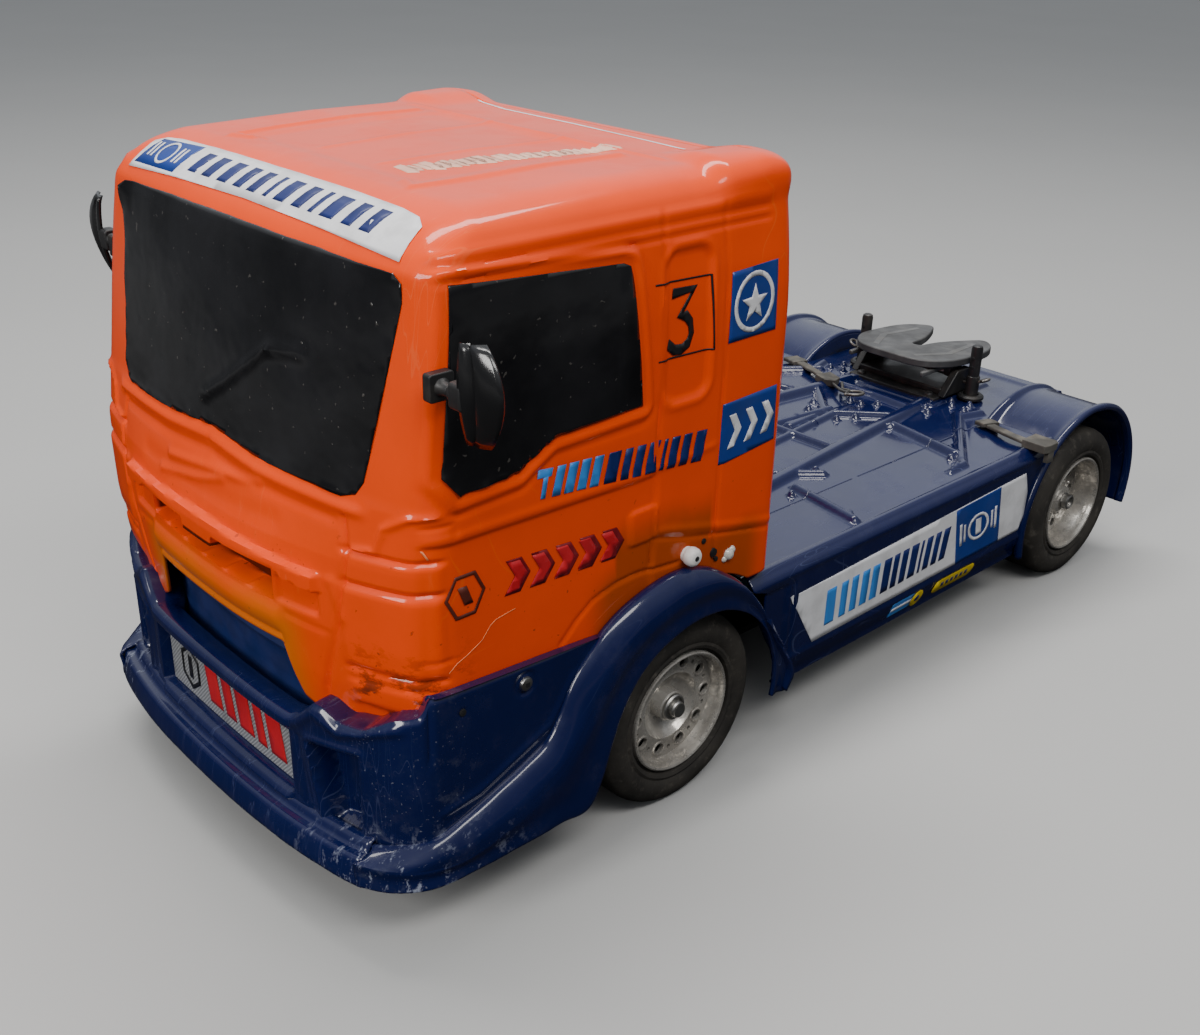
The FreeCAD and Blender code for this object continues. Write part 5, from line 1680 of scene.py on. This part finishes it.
def mirror(side):
    """A folded black plate on a ball stud, with a pinched fold; gives back its fixed mount."""
    name = "left" if side > 0 else "right"

    def outward(u, v, w):
        return (u, side * w, v)
    mount = Build().slab(round_box(181.4, 189.0, 170.2, 177.6, 0.9), outward, 85.2, 88.2)
    stud = [(0.01, 88.0), (2.6, 88.0), (1.9, 89.0), (1.6, 91.6), (0.01, 91.6)]
    ball = [(2.4 * math.sin(a), 93.5 - 2.4 * math.cos(a)) for a in np.radians(np.linspace(6, 174, 13))]
    for profile in (stud, ball):
        mount.turned(profile, STUD_X, STUD_Z, side, 20, close=False)
    plate = Build().grid([wing_row(share, side) for share in np.linspace(0.0, 1.0, 15)], flip=side > 0)
    head = Build().slab(round_box(182.8, 187.6, 170.4, 177.4, 1.2), outward, 93.4, 98.2)
    node = name + "_mirror"
    piece(node + "_wing", plate, PAINT["black_gloss"], node, [node], wall=1.1, sharp=40.0,
          closed=False)
    piece(node + "_socket", head, PAINT["black"], node, [node], bevel=0.5, sharp=30.0)
    return mount


KNOB = (90.7, 96.0)
SIDE_SCREW = (157.5, 76.6)
SIDE_HOLE = (180.2, 76.6)


def painted_shade_hole(build, x, z, side, radius, rim, outer_y, foot_y):
    """A shallow button in painted shade that reads as a hole; rim is its foot's radius."""
    profile = [(0.01, outer_y), (radius, outer_y - 0.1), (rim, foot_y), (0.01, foot_y)]
    build.turned(profile, x, z, side, 14, close=False)


def side_hardware():
    """Body-mount knobs, bumper screws, hot-glue blob and the holes beside the knob, the holes in painted shade.
    """
    knobs, screws, marks, glue = Build(), Build(), Build(), Build()
    knob = [(0.01, 90.2), (1.9, 90.2), (2.6, 89.8), (3.1, 89.0), (3.2, 87.6), (3.0, 86.8), (2.6, 86.4),
            (2.6, 85.2), (0.01, 85.2)]
    knob_dimple = [(0.01, 90.3), (0.9, 90.3), (0.9, 89.9), (0.01, 89.9)]
    head = [(0.01, 87.9), (1.2, 87.9), (2.0, 87.6), (2.3, 87.0), (2.3, 86.4), (0.01, 86.4)]
    socket = [(-0.7, -0.7), (0.7, -0.7), (0.7, 0.7), (-0.7, 0.7)]
    screw_x, screw_z = SIDE_SCREW
    for side in (1, -1):
        knobs.turned(knob, *KNOB, side, 32, close=False)
        # mark 1 colours the knob's centre dimple black as painted shade
        knobs.turned(knob_dimple, *KNOB, side, 12, mark=1, close=False)
        screws.turned(head, *SIDE_SCREW, side, 20, close=False)
        # mark 1 is the hex socket: a thin slab in painted shade
        screws.slab(socket, lambda u, v, w, side=side: (screw_x + u, side * (87.9 + w), screw_z + v),
                    -0.4, 0.08, mark=1)
        # the holes beside the knob and the side hole are shallow buttons in painted shade
        for x, z, radius in ((78.0, 92.2, 1.5), (76.6, 89.6, 0.8), (83.0, 98.0, 0.9)):
            painted_shade_hole(marks, x, z, side, radius, radius * 1.1, 86.0, 85.2)
        painted_shade_hole(marks, *SIDE_HOLE, side, 1.0, 1.15, 87.3, 86.6)
    for x, z, size, tall in ((70.4, 89.2, 2.3, 1.7), (68.9, 90.4, 1.5, 1.2), (72.4, 87.9, 1.2, 0.9)):
        drop = [(0.01, 85.4 + tall), (size * 0.45, 85.4 + tall * 0.93), (size * 0.8, 85.4 + tall * 0.55),
                (size, 85.3), (0.01, 85.0)]
        glue.turned(drop, x, z, 1, 18, close=False)
    piece("body_mount_knobs", knobs, [PAINT["white"], PAINT["black"]], stands_for=["side_knobs"],
          sharp=35.0)
    piece("bumper_side_screws", screws, [PAINT["nut_steel"], PAINT["dark"]], stands_for=["bumper_screws"],
          sharp=35.0)
    # the hole buttons carry painted shade
    piece("side_holes_painted_shade", marks, PAINT["dark"], stands_for=["cab_shell"])
    piece("hot_glue_blob", glue, PAINT["clear"], stands_for=["cab_shell"], sharp=70.0)


PAINT["plate_rub"] = plain("plate_rub", (0.10, 0.10, 0.098), 0.42, mottle=0.3, dirt=0.3)
PAINT["steel_dark"] = plain("steel_dark", (0.16, 0.15, 0.14), 0.42, 0.8, mottle=0.3, dirt=0.3)
PAINT["black_gloss"] = plain("black_gloss", (0.010, 0.010, 0.011), 0.2, coat=0.3, mottle=0.2)
fifth_wheel()
posts()
tethers()
clips()
mounts = mirror(1).join(mirror(-1))
piece("mirror_ball_mounts", mounts, PAINT["black"], stands_for=["mirror_mounts"], bevel=0.3,
      sharp=32.0)
side_hardware()


# ---------------------------------------------------------------- stickers: plain generic shapes, no lettering

FULL_SQUARE = [[(0, 0), (1, 0), (1, 1), (0, 1)]]


def in_frame(corners, shapes, side=1):
    """Places unit-square shapes between four corners: low left, low right, high right, high left.

    The corners are given for the left side; on the right side the truck's front is to the reader's right.
    """
    if side < 0:
        corners = [corners[1], corners[0], corners[3], corners[2]]
    low_left, low_right, high_right, high_left = (np.array(c, float) for c in corners)

    def place(u, v):
        low = (1 - u) * low_left + u * low_right
        high = (1 - u) * high_left + u * high_right
        return tuple((1 - v) * low + v * high)
    return [[place(u, v) for u, v in shape] for shape in shapes]


def stroke(points, width):
    """A line given width, with its corners kept sharp but not too long."""
    points = [np.array(p, float) for p in points]
    left, right = [], []
    for i, point in enumerate(points):
        before = points[i] - points[i - 1] if i > 0 else points[1] - points[0]
        after = points[i + 1] - points[i] if i < len(points) - 1 else before
        before, after = before / np.linalg.norm(before), after / np.linalg.norm(after)
        middle = before + after
        middle = middle / max(np.linalg.norm(middle), 0.35)
        normal = np.array([-middle[1], middle[0]])
        stretch = min(1.5, 1.0 / max(0.3, float(middle @ after)))
        left.append(tuple(point + normal * width / 2 * stretch))
        right.append(tuple(point - normal * width / 2 * stretch))
    return left + right[::-1]


def slanted_bars(starts, widths, lean=0.05, low=0.0, high=1.0):
    """Parallelograms that lean forward."""
    return [[(s, low), (s + w, low), (s + w + lean, high), (s + lean, high)] for s, w in zip(starts, widths)]


def chevrons(count, thick=0.45, gap=0.55):
    """A row of arrow-shaped bars in the unit square."""
    shapes = []
    pitch = 1.0 / count
    for k in range(count):
        start = k * pitch
        reach, width = pitch * (1.0 - gap), pitch * thick
        shapes.append([(start, 0.0), (start + width, 0.0), (start + width + reach, 0.5), (start + width, 1.0),
                       (start, 1.0), (start + reach, 0.5)])
    return shapes


def ring_shape(centre, radius, thick, sides=28):
    """A ring as short four-sided pieces."""
    shapes = []
    for k in range(sides):
        a, b = 2 * math.pi * k / sides, 2 * math.pi * (k + 1) / sides
        shapes.append([(centre[0] + r * math.cos(t), centre[1] + r * math.sin(t))
                       for r, t in ((radius, a), (radius, b), (radius - thick, b), (radius - thick, a))])
    return shapes


def star(centre, radius, waist=0.42, points=5):
    """A plain star's outline."""
    outline = []
    for k in range(2 * points):
        reach = radius if k % 2 == 0 else radius * waist
        angle = math.pi * k / points
        outline.append((centre[0] + reach * math.sin(angle), centre[1] + reach * math.cos(angle)))
    return outline


def stick(name, onto, layers, step=3.0, wobble=0.0, body_node="cab_shell", thick=0.08):
    """One sticker piece from (paint, height above the surface, outlines) layers."""
    build = Build()
    paints = []
    for mark, (paint, height, outlines) in enumerate(layers):
        paints.append(PAINT[paint])
        for outline in outlines:
            sway = None
            if wobble:
                def sway(u, v):
                    return wobble * ripple(u, v, 7.0, 4.0)
            drape(build, outline, onto, height, step, mark, sway)
    return piece(name, build, paints, stands_for=[body_node], wall=thick, closed=False)


DIGIT_THREE = [(0.06, 0.94), (0.90, 0.94), (0.44, 0.58), (0.66, 0.55), (0.86, 0.43), (0.93, 0.27), (0.85, 0.12),
               (0.62, 0.03), (0.34, 0.03), (0.08, 0.14)]


EMBLEM = (177.0, 111.8)
CRACK = [(183.4, 88.6), (180.2, 91.5), (176.0, 93.2), (171.5, 95.6), (168.5, 99.2), (166.5, 100.4),
         (162.5, 101.0), (159.5, 101.4)]
CHIP = [(191.2, 128.6), (188.6, 127.4), (187.4, 125.0)]


def side_stickers(side):
    """Race number in a thin box, two blue squares, two rows of bars, a hexagon outline and a crack."""
    name = "left" if side > 0 else "right"
    onto = left_flank if side > 0 else right_flank

    def framed(corners, shapes):
        return in_frame(corners, shapes, side)

    number = [(104.3, 164.7), (93.0, 163.3), (91.4, 182.7), (102.0, 182.4)]
    digit = [stroke(DIGIT_THREE, 0.17)]
    boxed = [(107.2, 162.4), (84.2, 161.8), (85.6, 184.6), (109.0, 185.4)]
    line = 0.022
    box = [[(0, 0), (1, 0), (1, line), (0, line)], [(0, 1 - line), (1, 1 - line), (1, 1), (0, 1)],
           [(1 - line, line), (1, line), (1, 1 - line), (1 - line, 1 - line)]]
    stick(name + "_race_number", onto, [("sticker_black", 0.22, framed(number, digit)),
                                        ("sticker_black", 0.22, framed(boxed, box))], 1.6)
    upper = [(77.8, 162.2), (56.4, 162.6), (56.8, 184.6), (77.2, 183.6)]
    lower = [(78.4, 122.6), (52.4, 125.2), (53.2, 143.9), (78.0, 142.8)]
    ringed_star = ring_shape((0.5, 0.5), 0.43, 0.07) + [star((0.5, 0.48), 0.28)]
    stick(name + "_upper_square", onto, [("sticker_blue", 0.22, framed(upper, FULL_SQUARE)),
                                         ("sticker_white", 0.34, framed(upper, ringed_star))], 2.0)
    arrows = [[(0.12 + 0.3 * k, 0.22), (0.24 + 0.3 * k, 0.22), (0.36 + 0.3 * k, 0.5),
               (0.24 + 0.3 * k, 0.78), (0.12 + 0.3 * k, 0.78), (0.24 + 0.3 * k, 0.5)] for k in range(3)]
    stick(name + "_lower_square", onto, [("sticker_blue", 0.22, framed(lower, FULL_SQUARE)),
                                         ("sticker_white", 0.34, framed(lower, arrows))], 2.0)
    band = [(153.0, 133.0), (84.5, 126.6), (83.6, 136.6), (152.2, 141.6)]
    light = slanted_bars((0.0, 0.085, 0.15, 0.22, 0.29), (0.055, 0.045, 0.05, 0.05, 0.05), 0.02)
    light[0] = [(0.0, 0.72), (0.075, 0.72), (0.080, 1.0), (0.005, 1.0)]
    light.append([(0.025, 0.0), (0.050, 0.0), (0.058, 0.72), (0.033, 0.72)])
    dark = slanted_bars((0.37, 0.465, 0.535, 0.61, 0.70, 0.745, 0.82, 0.90),
                        (0.07, 0.045, 0.05, 0.065, 0.02, 0.05, 0.05, 0.065), 0.02)
    stick(name + "_two_tone_bars", onto, [("sticker_light", 0.20, framed(band, light)),
                                          ("sticker_navy", 0.20, framed(band, dark))], 2.4)
    red_row = [(163.5, 106.6), (117.8, 104.4), (117.6, 114.4), (163.0, 117.4)]
    inlay = [[(u * 0.97 + 0.012, 0.07 + v * 0.86) for u, v in shape] for shape in chevrons(5, 0.50, 0.66)]
    stick(name + "_red_chevrons", onto, [("sticker_red_dark", 0.20, framed(red_row, chevrons(5, 0.62, 0.62))),
                                         ("sticker_red", 0.28, framed(red_row, inlay))], 2.2)
    x, z = EMBLEM
    bar = [[(x + dx, z + dz) for dx, dz in ((-2.6, -2.9), (0.4, -2.9), (2.6, 2.9), (-0.4, 2.9))]]
    outline = hexagon_ring(EMBLEM, 6.8, 7.6, 0.84)
    stick(name + "_hexagon_outline", onto, [("sticker_brown", 0.20, outline + bar)], 2.4)
    if side > 0:
        stick("left_panel_crack", onto, [("sticker_pale", 0.10, [stroke(CRACK, 0.24)]),
                                         ("sticker_pale", 0.10, [stroke(CHIP, 0.5)])], 3.0)


BLOCK_Y = -56.0


def nose_banner():
    """White banner over the windscreen: blue block with a ring and short bars, then slanted navy bars."""
    half = [(0, 212.0), (30, 212.1), (58, 211.6), (66, 210.9), (70, 209.2)]
    low = [(71.5, 201.7), (40, 202.5), (0, 203.0)]
    outline = half + low + [(-y, z) for y, z in low[-2::-1]] + [(-y, z) for y, z in half[:0:-1]]

    def onto(u, v, offset):
        """v runs up the nose and then over onto the roof's leading edge."""
        v = np.asarray(v, float)
        tilt = np.radians(np.interp(v, [200.0, 212.0], [26.0, 58.0]))
        u, tilt, v = np.broadcast_arrays(np.asarray(u, float), tilt, v)
        start_x = 163.0 - (v - 200.0) * 0.35
        starts = np.stack([start_x, u, np.full(v.shape, 188.0)], -1)
        ways = np.stack([np.cos(tilt), 0 * u, np.sin(tilt)], -1)
        return cab_point(starts, ways, offset)

    def quad(y0, y1, low_v, high_v, lean=0.0):
        return [(y0, low_v), (y1, low_v), (y1 + lean, high_v), (y0 + lean, high_v)]
    block = [[(-69.6, 203.0), (-43.5, 203.2), (-42.0, 211.2), (-66.5, 210.2)]]
    circle = ring_shape((0, 0), 1.0, 0.2)
    ring = [[(BLOCK_Y + 4.0 * u * 1.15, 207.1 + 3.1 * v) for u, v in shape] for shape in circle]
    wings = []
    for side in (-1, 1):
        for gap in (6.4, 8.6):
            wings.append(quad(BLOCK_Y + side * gap, BLOCK_Y + side * (gap + 1.1), 205.2, 209.2))
    bars = []
    for start, width in ((-37, 5.4), (-28.6, 6.0), (-19.6, 6.4), (-10.2, 5.0), (-2.6, 5.2), (6.0, 2.4),
                         (11.6, 6.0), (20.6, 5.2), (28.6, 2.4), (34.0, 7.0), (43.8, 5.0), (51.6, 5.2)):
        bars.append(quad(start, start + width * 0.86, 204.6, 210.0, 0.9))
    stick("nose_banner", onto, [("sticker_white", 0.25, [outline]), ("sticker_blue", 0.34, block),
                                ("sticker_white", 0.42, ring + wings), ("sticker_navy", 0.34, bars)], 2.6, 0.12)


def roof_residue():
    """Torn, faded remains of tape on the roof and the pale trimmed line at its rear edge."""
    rng = np.random.default_rng(5)
    front_x, front_y, rear_x, rear_y = 150, 26, 84, 39
    shapes = []
    for k in range(26):
        share = k / 25.0
        x = front_x + share * (rear_x - front_x)
        y = front_y + share * (rear_y - front_y)
        wide = rng.uniform(3.6, 6.6) * (1.0 - 0.2 * share)
        long = rng.uniform(1.2, 2.6)
        lean = rng.uniform(-1.5, 1.5)
        shapes.append([(x - long, y - wide), (x + long * 0.4, y - wide * 0.8 + lean),
                       (x + long, y + wide * 0.7), (x - long * 0.2, y + wide),
                       (x - long * 1.3, y + wide * 0.1)])
    stick("roof_tape_residue", on_roof, [("tape_faded", 0.10, shapes)], 2.0)
    line = [[(60.5, -56), (64.6, -36), (64.8, 0), (66.6, 36), (68.0, 54), (67.0, 54), (65.6, 36),
             (63.6, 0), (63.4, -36), (59.5, -56)]]
    stick("roof_trim_line", on_roof, [("sticker_white", 0.15, line)], 3.0)


def upright_bar(low_u, high_u, low_v, high_v):
    """A plain rectangle's outline."""
    return [(low_u, low_v), (high_u, low_v), (high_u, high_v), (low_u, high_v)]


def oval(u, v, reach_u, reach_v, step):
    """An oval's outline with a corner every so many degrees."""
    angles = np.radians(np.arange(0, 360, step))
    return [(u + reach_u * math.cos(a), v + reach_v * math.sin(a)) for a in angles]


def skirt_strip(side, name, onto):
    """A long white strip with a slanted front end, two rows of bars and a blue square."""
    base = [(35.0, 60.2), (20.2, 36.5), (-119.5, 37.9), (-122.4, 44.0), (-122.4, 55.0), (-119.8, 62.0),
            (-118.4, 65.0)]
    band = [(14.0, 41.0), (-63.0, 43.4), (-63.5, 57.0), (15.5, 55.6)]
    light = slanted_bars((0.0, 0.11, 0.19, 0.27, 0.35), (0.07, 0.05, 0.05, 0.055, 0.055), 0.02)
    dark = slanted_bars((0.44, 0.52, 0.59, 0.665, 0.75, 0.795, 0.87, 0.94),
                        (0.06, 0.045, 0.05, 0.06, 0.02, 0.05, 0.045, 0.055), 0.02)
    square = [(-72.0, 37.4), (-103.8, 37.8), (-99.4, 64.2), (-67.1, 62.9)]
    inside = ring_shape((0.5, 0.5), 0.24, 0.05)
    for box in ((0.44, 0.56, 0.36, 0.64), (0.08, 0.13, 0.3, 0.7), (0.87, 0.92, 0.3, 0.7),
                (0.17, 0.21, 0.34, 0.66), (0.79, 0.83, 0.34, 0.66)):
        inside.append(upright_bar(*box))
    stick(name + "_skirt_strip", onto, [
        ("sticker_white", 0.18, [base]), ("sticker_light", 0.30, in_frame(band, light, side)),
        ("sticker_navy", 0.30, in_frame(band, dark, side)),
        ("sticker_blue", 0.30, in_frame(square, FULL_SQUARE, side)),
        ("sticker_white", 0.42, in_frame(square, inside, side))], 3.0, 0.10, "rear_body")


def skirt_badges(name, onto):
    """Three small plain badges low on the skirt: a light one, a yellow disc and a yellow pill."""
    small = [(-30.5, 26.6), (-45.0, 27.0), (-45.0, 33.6), (-30.5, 33.2)]
    half_light = [(-30.7, 29.2), (-44.0, 29.5), (-44.0, 31.2), (-30.7, 30.9)]
    disc = oval(-47.8, 30.0, 3.8, 4.0, 20)
    dot = oval(-47.8, 30.0, 1.4, 1.6, 40)
    pill = round_box(-88.0, -59.0, 27.0, 33.4, 2.8)
    stripes = slanted_bars(np.arange(-83.5, -64.0, 3.4), [1.9] * 6, 0.5, 29.2, 31.4)
    stick(name + "_skirt_badges", onto, [
        ("sticker_light", 0.18, [small]), ("sticker_white", 0.28, [half_light]),
        ("sticker_yellow", 0.36, [disc, pill]), ("sticker_navy", 0.46, [dot] + stripes)],
        3.0, 0.0, "rear_body")


def skirt_stickers(side):
    """Everything stuck on one skirt."""
    name = "left" if side > 0 else "right"

    def onto(u, v, offset):
        u, v = np.broadcast_arrays(np.asarray(u, float), np.asarray(v, float))
        y = DECK_HALF + skirt_relief(u, v) + offset
        return np.stack([u, side * y, v], -1)
    skirt_strip(side, name, onto)
    skirt_badges(name, onto)


PAINT["sticker_red_dark"] = plain("sticker_red_dark", (0.20, 0.006, 0.012), 0.4, mottle=0.1)
PAINT["sticker_brown"] = plain("sticker_brown", (0.10, 0.018, 0.010), 0.4, mottle=0.1)
PAINT["sticker_pale"] = plain("crack_pale", (0.95, 0.30, 0.12), 0.5, mottle=0.1)
PAINT["tape_faded"] = plain("tape_faded", (0.92, 0.50, 0.36), 0.5, mottle=0.2, dirt=0.15)
for flank in (1, -1):
    side_stickers(flank)
nose_banner()
roof_residue()
for flank in (1, -1):
    skirt_stickers(flank)


# ---------------------------------------------------------------- floor, light and camera

def floor_paper():
    """Pale paper that throws little light back; in reflections it is dim near by and bright far off."""
    nodes = Nodes("floor_pale")
    squares = [nodes.math("POWER", nodes.axis(letter), 2.0) for letter in ("X", "Y")]
    distance = nodes.math("SQRT", nodes.math("ADD", squares[0], squares[1]))
    pale = nodes.mix(nodes.noise(4.0), (0.44, 0.44, 0.435), (0.47, 0.47, 0.465))
    dim = nodes.mix(nodes.ramp(distance, 450.0, 1400.0), (0.02, 0.02, 0.02), (0.20, 0.20, 0.20))
    path = nodes.tree.nodes.new("ShaderNodeLightPath")
    nodes.bump(nodes.noise(400.0, 3.0), 0.4, 0.05)
    tone = nodes.mix(path.outputs["Is Diffuse Ray"], pale, (0.10, 0.10, 0.10))
    return nodes.finish(nodes.mix(path.outputs["Is Glossy Ray"], tone, dim), 0.7, Specular_IOR_Level=0.0)


ROOM_BLUE = (0.86, 0.90, 0.95, 1.0)
ROOM_SEEN = 0.62  # the room's strength where the camera sees it
GLOW_WAY = (-0.64, -0.67, 0.38)  # where a soft bright patch shows in reflections


def soft_room():
    """A dim room, brighter overhead, with one bright patch that only shows in reflections."""
    world = bpy.data.worlds.new("soft_room")
    world.use_nodes = True
    tree = world.node_tree
    place = tree.nodes.new("ShaderNodeTexCoord").outputs["Generated"]
    path = tree.nodes.new("ShaderNodeLightPath")
    split = tree.nodes.new("ShaderNodeSeparateXYZ")
    tree.links.new(place, split.inputs[0])
    overhead = soft_range(tree, split.outputs["Z"], 0.05, 0.75, 0.12, 0.60)
    facing = tree.nodes.new("ShaderNodeVectorMath")
    facing.operation = "DOT_PRODUCT"
    facing.inputs[1].default_value = GLOW_WAY
    tree.links.new(place, facing.inputs[0])
    glow = soft_range(tree, facing.outputs["Value"], 0.70, 0.95, 0.0, 0.52)
    glossy = tree.nodes.new("ShaderNodeMath")
    glossy.operation = "MULTIPLY_ADD"
    for index, value in enumerate((glow, path.outputs["Is Glossy Ray"], overhead)):
        tree.links.new(value, glossy.inputs[index])
    seen = tree.nodes.new("ShaderNodeMix")
    seen.inputs[3].default_value = ROOM_SEEN
    tree.links.new(path.outputs["Is Camera Ray"], seen.inputs[0])
    tree.links.new(glossy.outputs[0], seen.inputs[2])
    background = tree.nodes["Background"]
    background.inputs[0].default_value = ROOM_BLUE
    tree.links.new(seen.outputs[0], background.inputs[1])
    bpy.context.scene.world = world


FLOOR_REACH = 6.0
LAMPS = [  # name, place, size, power and the place it looks at, in metres and watts
    ("key_panel", (0.35, 0.75, 1.15), (0.9, 0.30), 8.5, (0.05, 0.0, 0.08)),
    ("roof_panel", (-0.15, -0.25, 1.30), (1.2, 0.22), 14.0, (0.0, 0.0, 0.08)),
    ("nose_panel", (1.25, 0.10, 0.75), (0.35, 0.5), 8.5, (0.1, 0.0, 0.10)),
]


def set_stage():
    """Plain pale floor, three soft panels and the room."""
    corners = [(x, y, 0.0) for x, y in ((-1, -1), (1, -1), (1, 1), (-1, 1))]
    mesh = bpy.data.meshes.new("studio_floor")
    mesh.from_pydata([tuple(c * FLOOR_REACH for c in corner) for corner in corners], [], [(0, 1, 2, 3)])
    mesh.materials.append(floor_paper())
    placed("studio_floor", mesh)
    soft_room()
    for name, place, size, power, aim in LAMPS:
        lamp = bpy.data.lights.new(name, "AREA")
        lamp.shape = "RECTANGLE"
        lamp.size, lamp.size_y = size
        lamp.energy = power
        lamp.color = (1.0, 0.98, 0.95)
        holder = placed(name, lamp)
        holder.location = place
        holder.rotation_euler = (Vector(aim) - Vector(place)).to_track_quat("-Z", "Y").to_euler()


CAMERA_PLACE = (0.3666, 0.3357, 0.2863)
CAMERA_ANGLES = (226.42, -25.67, 1.61)  # yaw, pitch and roll in degrees
CAMERA_LENS = 39.885


def set_camera():
    """Stands where the truck's maker would take a three-quarter view from above the left front."""
    yaw, pitch, roll = (math.radians(a) for a in CAMERA_ANGLES)
    ahead = Vector((math.cos(yaw) * math.cos(pitch), math.sin(yaw) * math.cos(pitch), math.sin(pitch)))
    level = Vector((math.sin(yaw), -math.cos(yaw), 0.0))
    up = level.cross(ahead)
    right = level * math.cos(roll) + up * math.sin(roll)
    up = up * math.cos(roll) - level * math.sin(roll)
    lens = bpy.data.cameras.new("main_camera")
    lens.sensor_width = 36.0
    lens.lens = CAMERA_LENS
    lens.clip_start = 0.01
    camera = placed("main_camera", lens)
    turn = Matrix((right, up, -ahead)).transposed().to_4x4()
    camera.matrix_world = Matrix.Translation(Vector(CAMERA_PLACE)) @ turn
    bpy.context.scene.camera = camera


def paint_frame():
    """Gives every CAD node the material of its slot."""
    for part in frame["record"]["subparts"]:
        mesh = frame["nodes"][part["node"]].data
        mesh.materials.clear()
        mesh.materials.append(PAINT[SLOT_PAINT[part["material_slot"]]])


paint_frame()
set_stage()
set_camera()
